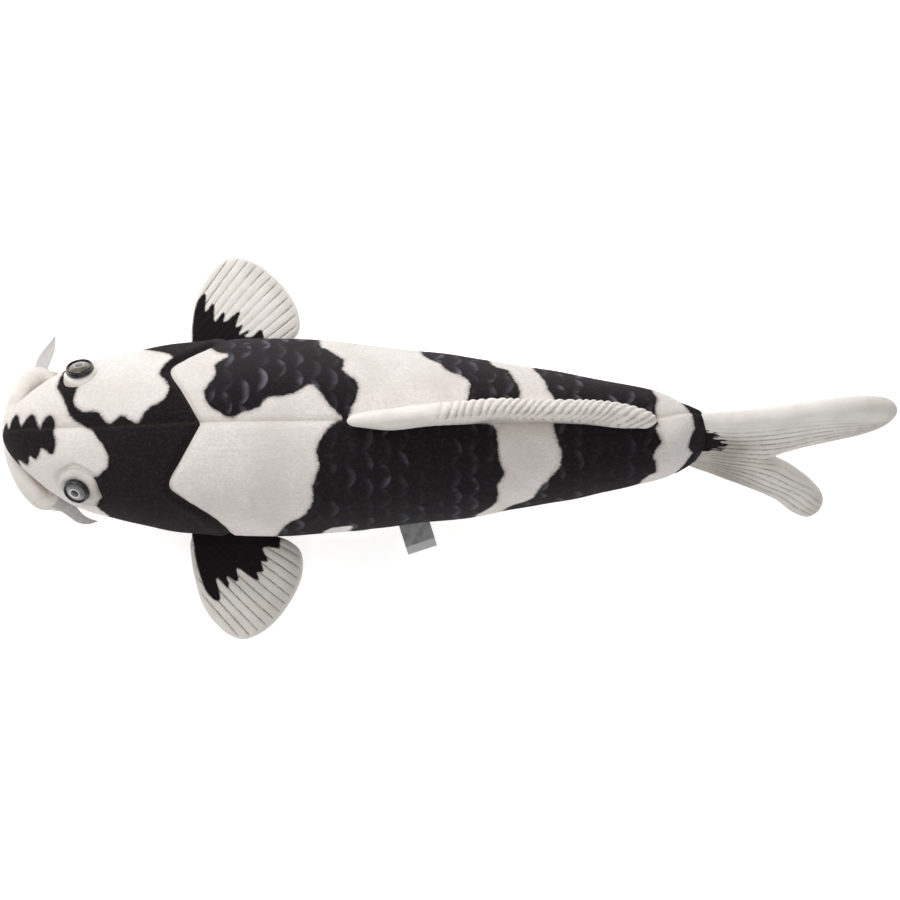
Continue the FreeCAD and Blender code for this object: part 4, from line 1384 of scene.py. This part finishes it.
def build_pelvic(side, sign):
    at = side_fin_axes(PELVIC_AT, 5.0, 0.0, sign)
    top = 1 if at[1][2][2] > 0 else -1
    small_fin(f"pelvic_fin_{side}", PELVIC, at, 1.5, 4.0, top, ("upper", "lower"), lean=40)


def build_anal():
    lean, slope = math.radians(7.0), math.radians(16.5)
    at = axes(ANAL_AT, (math.cos(slope), 0, math.sin(slope)), (0, -math.sin(lean), -math.cos(lean)))
    right = 1 if at[1][2][1] > 0 else -1
    small_fin("anal_fin", ANAL, at, 2.0, 4.5, right, ("right", "left"), lean=48)


# The dorsal fin in its own plane: along its foot, and height over the foot.
DORSAL = [
    (-1.0, 2.0), (2.4, 9.3), (9.0, 15.5), (18.0, 21.0), (30.0, 29.4), (41.0, 33.6), (58.0, 32.4),
    (85.0, 27.0), (112.0, 21.6), (132.0, 17.4), (140.5, 14.6), (144.5, 9.6), (144.0, 2.0), (140.0, -5.0),
    (100.0, -5.5), (50.0, -5.5), (8.0, -5.0),
]
DORSAL_LINE = ((3.0, 0.83, 94.8), (149.0, 4.68, 70.75))
DORSAL_HALF = 3.9
DORSAL_LEAN = math.radians(5.0)
DORSAL_MIDDLE = 72
PLEAT = 4.1
# How it sways along its foot: distance along, shift to the fish's left, more shift for each millimetre up.
DORSAL_SWAY = [
    (0.0, 1.2, 0.0), (19.0, 2.6, 0.0), (39.0, 0.2, 0.1), (56.0, -0.8, 0.08), (67.0, -2.9, 0.12),
    (83.0, -2.8, 0.12), (99.0, -1.8, 0.06), (112.0, -0.6, -0.02), (127.0, 1.9, -0.13), (145.0, 2.6, 0.0),
]
PLEAT_SLANT = [(25, 0.15), (45, 0.35), (60, 0.6), (75, 1.0), (100, 1.1), (140, 1.3)]


def build_dorsal():
    front, rear = (np.array(p) for p in DORSAL_LINE)
    at = axes(front, rear - front, (0, math.sin(DORSAL_LEAN), math.cos(DORSAL_LEAN)))
    loop = smooth_line(DORSAL, 720, closed=True)
    left = 1 if at[1][2][1] < 0 else -1

    def height(flat, depth):
        foot = 0.62 + 0.38 * smooth_step(flat[:, 1], -3, 8)
        belly = 1 - 0.16 * smooth_step(depth, 6, 16)
        ends = 0.8 + 0.2 * smooth_step(flat[:, 0], 0, 18) * smooth_step(flat[:, 0], 146, 128)
        return DORSAL_HALF * rim_profile(depth, DORSAL_HALF) * foot * belly * ends

    sway = np.array(DORSAL_SWAY)
    slant = np.array(PLEAT_SLANT)

    def drift(flat):
        shift, shear = (smooth_row(sway[:, 0], sway[:, c], flat[:, 0]) for c in (1, 2))
        return left * (shift * smooth_step(flat[:, 1], -4, 3) + shear * np.maximum(flat[:, 1], 0))

    def fold(flat, depth, face):
        """Place among the pleats, how strongly they show, and the way down the left side from the crest."""
        side = 1 if face == left else -1
        along, up = flat[:, 0], flat[:, 1]
        down = side * DORSAL_HALF * rim_profile(depth, DORSAL_HALF) + (0.23 * depth if side > 0 else 0)
        skew = smooth_row(slant[:, 0], slant[:, 1], along)
        uneven = 0.8 * ripple(along / 8, along * 0, 11) + 0.22 * ripple(along / 4, down / 2, 5)
        place_in = (along + skew * down) / PLEAT + uneven
        shows = smooth_step(along, 32, 43) * smooth_step(along, 147, 142) * smooth_step(up, 1, 6)
        if side < 0:
            shows = shows * smooth_step(depth, 14, 5)
        else:
            shows = shows * (1 - 0.85 * smooth_step(down, 5, 8) * smooth_step(along, 88, 62))
        return place_in, shows * (0.75 + 0.25 * ripple(along / 6, down / 5, 9)), down

    def relief(flat, depth, face):
        place_in, shows, down = fold(flat, depth, face)
        lobe = np.abs(np.sin(math.pi * place_in)) ** 0.7
        soft = 0.2 * ripple(flat[:, 0] / 4.5, flat[:, 1] / 4.0, 6) * (1 - shows)
        full = 1.45 - 0.35 * smooth_step(np.abs(down - 1), 2, 6)
        return (full * lobe - 0.75) * shows + soft * smooth_step(depth, 0, 2)

    # how much painted shade each valley between the pleats gets
    def crease_shade(flat, depth, face):
        place_in, shows, down = fold(flat, depth, face)
        valley = (1 - np.abs(np.sin(math.pi * place_in))) ** 3.2
        return valley * shows * (0.25 + 0.75 * smooth_step(down, -1, 4))

    joined = root_line(at, DORSAL_MIDDLE, -1.5, 5.0)
    common = {"body": "dorsal_fin", "slot": "cream_plush", "joined": joined, "fill": 0.7}
    jobs = cover_jobs("dorsal_fin", left, ("left", "right"), GATHERED, common)
    insets = (0.06, 0.22, 0.5, 0.9, 1.4, 2.0, 2.7, 3.5)
    fin_covers(loop, 0.78, insets, height, relief, {"crease_shade": crease_shade}, at, jobs, drift=drift)


# The tail fin in its own plane: a runs away from the trunk, b upwards.
TAIL = [
    (-3.0, 12.4), (6.0, 13.2), (22.0, 15.0), (40.0, 18.2), (60.0, 22.2), (76.0, 23.6), (87.0, 22.0),
    (91.5, 15.5), (87.0, 7.6), (76.0, 1.5), (60.0, -3.5), (45.0, -8.2), (35.5, -13.0), (43.5, -18.5),
    (55.0, -28.5), (61.8, -38.0), (61.5, -46.5), (55.5, -51.2), (47.5, -48.2), (38.0, -40.0),
    (24.0, -32.6), (6.0, -24.6), (-6.0, -19.4), (-12.0, -15.0), (-14.0, -4.0), (-11.0, 7.5),
]
TAIL_AT = (172.6, 1.0, 47.5)
TAIL_ROLL = math.radians(42.0)
TAIL_PITCH = math.radians(3.0)
TAIL_HALF = 4.8
TAIL_BLACK = [
    (-18.0, 18.0), (-6.0, 16.0), (-5.4, 11.0), (-3.4, 7.4), (0.6, 5.0), (1.2, 3.8), (5.6, 2.6),
    (4.8, 1.4), (9.2, -0.4), (7.4, -1.6), (12.0, -3.6), (7.8, -4.4), (9.0, -6.2), (3.6, -6.4),
    (1.6, -8.0), (-3.4, -8.8), (-5.4, -11.0), (-7.6, -16.4), (-10.6, -22.0), (-18.0, -24.0),
]
TAIL_TOP = [(-10, 4.8), (28, 5.2), (61, 10.7), (92, 12.0)]
TAIL_FORK_UP = [(-10, -8.0), (0, -9.0), (35.5, -13.0), (60, -4.5), (92, 8.0)]
TAIL_FORK_DOWN = [(-10, -8.0), (0, -9.0), (35.5, -13.0), (50, -22), (64, -34)]
TAIL_FOOT = [(-10, -19.0), (2, -22.5), (24, -32.6), (47.5, -48.2), (64, -58)]


def build_tail():
    along = (math.cos(TAIL_PITCH), 0, -math.sin(TAIL_PITCH))
    at = axes(TAIL_AT, along, (0, math.sin(TAIL_ROLL), math.cos(TAIL_ROLL)))
    loop = smooth_line(TAIL, 640, closed=True)
    black = smooth_line(TAIL_BLACK, 160, closed=True)
    left = 1 if at[1][2][1] < 0 else -1

    def line(points, a):
        p = np.array(points, float)
        return smooth_row(p[:, 0], p[:, 1], a)

    def rays(flat):
        """Number of rays below the plain upper roll, and the width of one."""
        a, b = flat[:, 0], flat[:, 1]
        top, up, down, foot = (line(p, a) for p in (TAIL_TOP, TAIL_FORK_UP, TAIL_FORK_DOWN, TAIL_FOOT))
        upper, lower = (top - up) / 6.5, (down - foot) / 8.0
        in_lower = (b < down) | (b < up - 2)
        count = (top - b) / np.maximum(upper, 0.4)
        count = np.where(in_lower, 7 + (down - b) / np.maximum(lower, 0.4), count)
        count = count + 0.45 * ripple(a / 16, b / 5, 8)
        return count, np.where(in_lower, lower, upper), in_lower

    def nearest_ray(flat):
        count, wide, in_lower = rays(flat)
        return (count - np.round(count)) * np.clip(wide, 0.7, 3.2), count, wide, in_lower

    def height(flat, depth):
        crown = 0.8 + 0.2 * smooth_step(depth, 0, 9)
        root = 0.72 + 0.28 * smooth_step(flat[:, 0], 0, 14)
        return TAIL_HALF * rim_profile(depth, 4.2) * crown * root

    def relief(flat, depth, face):
        away, count, wide, _ = nearest_ray(flat)
        a, b = flat[:, 0], flat[:, 1]
        lines = smooth_step(count, -1, 2) * smooth_step(depth, 0.8, 2.6) * smooth_step(a, 4, 12)
        quilt = (-0.4 * hill(away, 0.5) - 0.2 * hill(away, 1.1) + 0.1) * lines * smooth_step(wide, 0.7, 1.3)
        bands = 0.35 * ripple(a / 26, count * 0.55, 9) * smooth_step(count, 0, 1.5)
        groove = -0.3 * hill(count + 0.1, 0.9) * smooth_step(a, 4, 14) * smooth_step(depth, 1, 3)
        return quilt + (bands + groove + 0.12 * ripple(a / 3, b / 2.4, 4)) * smooth_step(depth, 0, 2)

    def ray_share(flat, depth, face):
        _, count, _, _ = nearest_ray(flat)
        ends = smooth_step(depth, 0.8, 3.0) * smooth_step(flat[:, 0], 2, 8)
        return smooth_step(count, -2.2, 2.5) * ends * (0.55 + 0.45 * hill(flat[:, 0] - 12, 30))

    def shade(flat, depth, face):
        _, count, _, in_lower = nearest_ray(flat)
        a, b = flat[:, 0], flat[:, 1]
        root = 0.5 * hill(a - 8, 16) * smooth_step(count, -1, 3) + 0.22 * hill(a - 13, 8) * hill(b + 5, 6)
        tip = 0.22 * hill(depth - 3, 4) * smooth_step(a, 50, 80) + 0.16 * in_lower * hill(depth - 3, 5)
        streaks = 0.12 * smooth_step(ripple(a / 30, count * 1.1, 2), 0, 0.8) * smooth_step(count, 0, 2)
        return np.clip(root + tip + streaks, 0, 0.6)

    fields = {
        "ray": lambda flat, depth, face: nearest_ray(flat)[1],
        "gap": lambda flat, depth, face: np.clip(nearest_ray(flat)[2], 0.7, 3.2),
        "ray_share": ray_share,
        "shade": shade,
        "black": lambda flat, depth, face: inside_distance(black, flat),
    }
    joined = tuple(place([[a, -4.0, 0]], at)[0] for a in (-3.0, 10.0))
    common = {"body": "tail_fin", "slot": "fin_plush", "joined": joined, "fill": 0.6}
    jobs = cover_jobs("tail_fin", left, ("left", "right"), TAIL_PLUSH, common)
    fin_covers(loop, 0.6, (0.1, 0.35, 0.8, 1.4, 2.1), height, relief, fields, at, jobs)


# ---- label and stitches ----------------------------------------------------------------------------

LABEL_AT = (30.8, -32.2, 11.6)
LABEL_WIDE = 15.0
LABEL_LONG = 19.6
LABEL_DROOP = math.radians(22)
LABEL_TURN = math.radians(18)
LABEL_IN = 3.0          # caught inside the seam
LABEL_THICK = 0.24
LABEL_BEND = 0.32       # radius of the fold


def build_label():
    """A satin ribbon folded double, its fold outermost."""
    c, s, level = math.cos(LABEL_TURN), math.sin(LABEL_TURN), math.cos(LABEL_DROOP)
    at = axes(LABEL_AT, (c, s, 0), (s * level, -c * level, -math.sin(LABEL_DROOP)))
    columns, rows = 40, 120
    u = np.linspace(-LABEL_WIDE / 2, LABEL_WIDE / 2, columns)[None, :]
    length = LABEL_LONG + LABEL_IN
    run = np.linspace(0, 2 * length, rows)[:, None]
    quarter = LABEL_BEND * 1.57
    t = np.clip((run - (length - quarter)) / (2 * quarter), 0, 1) * math.pi
    first = np.minimum(run, length - quarter)
    second = np.maximum(run - (length + quarter), 0)
    v = 1.0 - LABEL_IN + first + LABEL_BEND * np.sin(t) - second
    gap = (LABEL_BEND + 0.14 * hill(run - length, 2.2)) * np.cos(t)
    wave = 0.5 * np.sin(v / 6.5 + 0.9) + 0.028 * (u + 1) * np.sin(v / 7.0) * v / 8
    w = gap + wave * smooth_step(v, 0, 9)
    grids = []
    for half in (LABEL_THICK / 2, -LABEL_THICK / 2):
        grid = np.stack(np.broadcast_arrays(u, v + half * np.sin(t), w + half * np.cos(t)), axis=-1)
        grids.append(place(grid.reshape(-1, 3), at).reshape(rows, columns, 3))
    if at[1][2][2] < 0:
        grids = grids[::-1]
    # where the fold's painted highlight lies
    fold = 0.9 * smooth_step(-np.abs(run - length), -4.6, -3.8)
    fields = {
        "weave": np.stack(np.broadcast_arrays(u, run, 0 * run), axis=-1).reshape(-1, 3),
        "fold": np.broadcast_to(fold, (rows, columns)).ravel(),
    }
    piece = shell("side_label_ribbon", grids[0], grids[1], RIBBON, fields)
    settle(piece, "label", ["side_label"], "satin_ribbon", root_line(at, 0, -0.8, 3.5))


STITCH_X = (62.0, 98.0)
STITCH_STEP = 4.0
STITCH_RADIUS = 0.38


def build_stitches():
    """Hand stitches that close the belly seam: each a short twist of thread that dips into the cloth."""
    rows, count = 15, 10
    points, faces = [], []
    for x in np.arange(STITCH_X[0], STITCH_X[1] + 0.1, STITCH_STEP):
        slant = 0.9 + 0.25 * math.sin(3.1 * x)
        t = np.linspace(-1, 1, rows)
        degrees = 180 + BELLY_SEAM - 4.0 * t
        lift = 0.42 - 1.9 * np.abs(t) ** 3
        line = trunk_point(x + slant * t, degrees, lift)
        way = unit(np.gradient(line, axis=0))
        up = unit(line - trunk_point(x + slant * t, degrees, lift - 1))
        side = np.cross(way, up)
        angle = circle(count) + 2.4 * t[:, None]
        thick = STITCH_RADIUS * (1 + 0.16 * np.cos(2 * (angle - 2.4 * t[:, None])))
        ring = line[:, None, :] + thick[..., None] * (
            np.cos(angle)[..., None] * side[:, None, :] + np.sin(angle)[..., None] * up[:, None, :]
        )
        start = len(points) * rows * count
        points.append(ring.reshape(-1, 3))
        faces += grid_faces(rows, count, wrap=True, start=start)
        faces.append([start + k for k in range(count)][::-1])
        faces.append([start + (rows - 1) * count + k for k in range(count)])
    piece = make_mesh("closing_stitches_thread", np.concatenate(points), faces, THREAD)
    settle(piece, "trunk", ["closing_stitches"], "thread")


# ---- the whole toy ---------------------------------------------------------------------------------

build_skin()
for side in ("left", "right"):
    build_eye(side)
    build_barbel(side)
roll("upper_lip_roll", 4.6, 33.0, 0.0, 0.4, ["upper_lip"])
roll("lower_lip_roll", 3.8, 25.0, 4.0, 1.9, ["lower_lip"])
for side, sign in (("left", -1), ("right", 1)):
    build_pectoral(side, sign)
    build_pelvic(side, sign)
build_dorsal()
build_anal()
build_tail()
build_label()
build_stitches()

for name in ("eye_washer_left", "eye_washer_right"):
    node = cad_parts[name]
    for slot in node.material_slots:
        slot.material = WASHER

# ---- floor, light and camera -----------------------------------------------------------------------


FLOOR_HALF = 3.0
FLOOR_DROP = 0.0004


def build_floor():
    corners = [(x * FLOOR_HALF, y * FLOOR_HALF, 0) for x, y in ((-1, -1), (1, -1), (1, 1), (-1, 1))]
    mesh = bpy.data.meshes.new("studio_floor")
    mesh.from_pydata(corners, [], [(0, 1, 2, 3)])
    mesh.materials.append(FLOOR)
    floor = add_object("studio_floor", mesh)
    floor.location = (0, 0, -FLOOR_DROP)
    floor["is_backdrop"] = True


LIGHT_AIM = Vector((0.03, 0, 0.04))


def soft_light(name, at, size, power):
    data = bpy.data.lights.new(name, "AREA")
    data.shape = "DISK"
    data.size = size
    data.energy = power
    lamp = add_object(name, data)
    lamp.location = at
    lamp.rotation_euler = (LIGHT_AIM - Vector(at)).to_track_quat("-Z", "Y").to_euler()


def build_light():
    soft_light("key_light", (-0.75, 1.1, 1.15), 1.0, 18.0)
    soft_light("fill_light", (0.1, -1.0, 1.4), 1.2, 3.0)
    soft_light("top_light", (-0.3, 0.2, 1.6), 1.0, 6.0)
    world = bpy.context.scene.world or bpy.data.worlds.new("studio")
    bpy.context.scene.world = world
    world.use_nodes = True
    background = world.node_tree.nodes["Background"]
    background.inputs["Color"].default_value = (1, 1, 1, 1)
    background.inputs["Strength"].default_value = 0.3


CAMERA_AIM = Vector((0.0502, -0.0063, 0.045))
CAMERA_FAR = 1.4
CAMERA_UP = math.radians(82)
CAMERA_LENS = 116.3


def build_camera():
    data = bpy.data.cameras.new("camera")
    data.sensor_width = 36
    data.lens = CAMERA_LENS
    data.clip_start = 0.05
    camera = add_object("camera", data)
    away = Vector((0, -math.cos(CAMERA_UP), math.sin(CAMERA_UP))) * CAMERA_FAR
    camera.location = CAMERA_AIM + away
    camera.rotation_euler = (math.pi / 2 - CAMERA_UP, 0, 0)
    bpy.context.scene.camera = camera


build_floor()
build_light()
build_camera()
bpy.context.scene.view_settings.view_transform = "Standard"


def plain(value):
    """Turns a box into plain lists of numbers, whatever it is made of."""
    if hasattr(value, "items"):
        return {str(k): plain(v) for k, v in value.items()}
    if hasattr(value, "__len__"):
        return [plain(v) for v in value]
    return float(value)


text = str({"cad": plain(CAD_BOX), "visual": plain(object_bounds())})
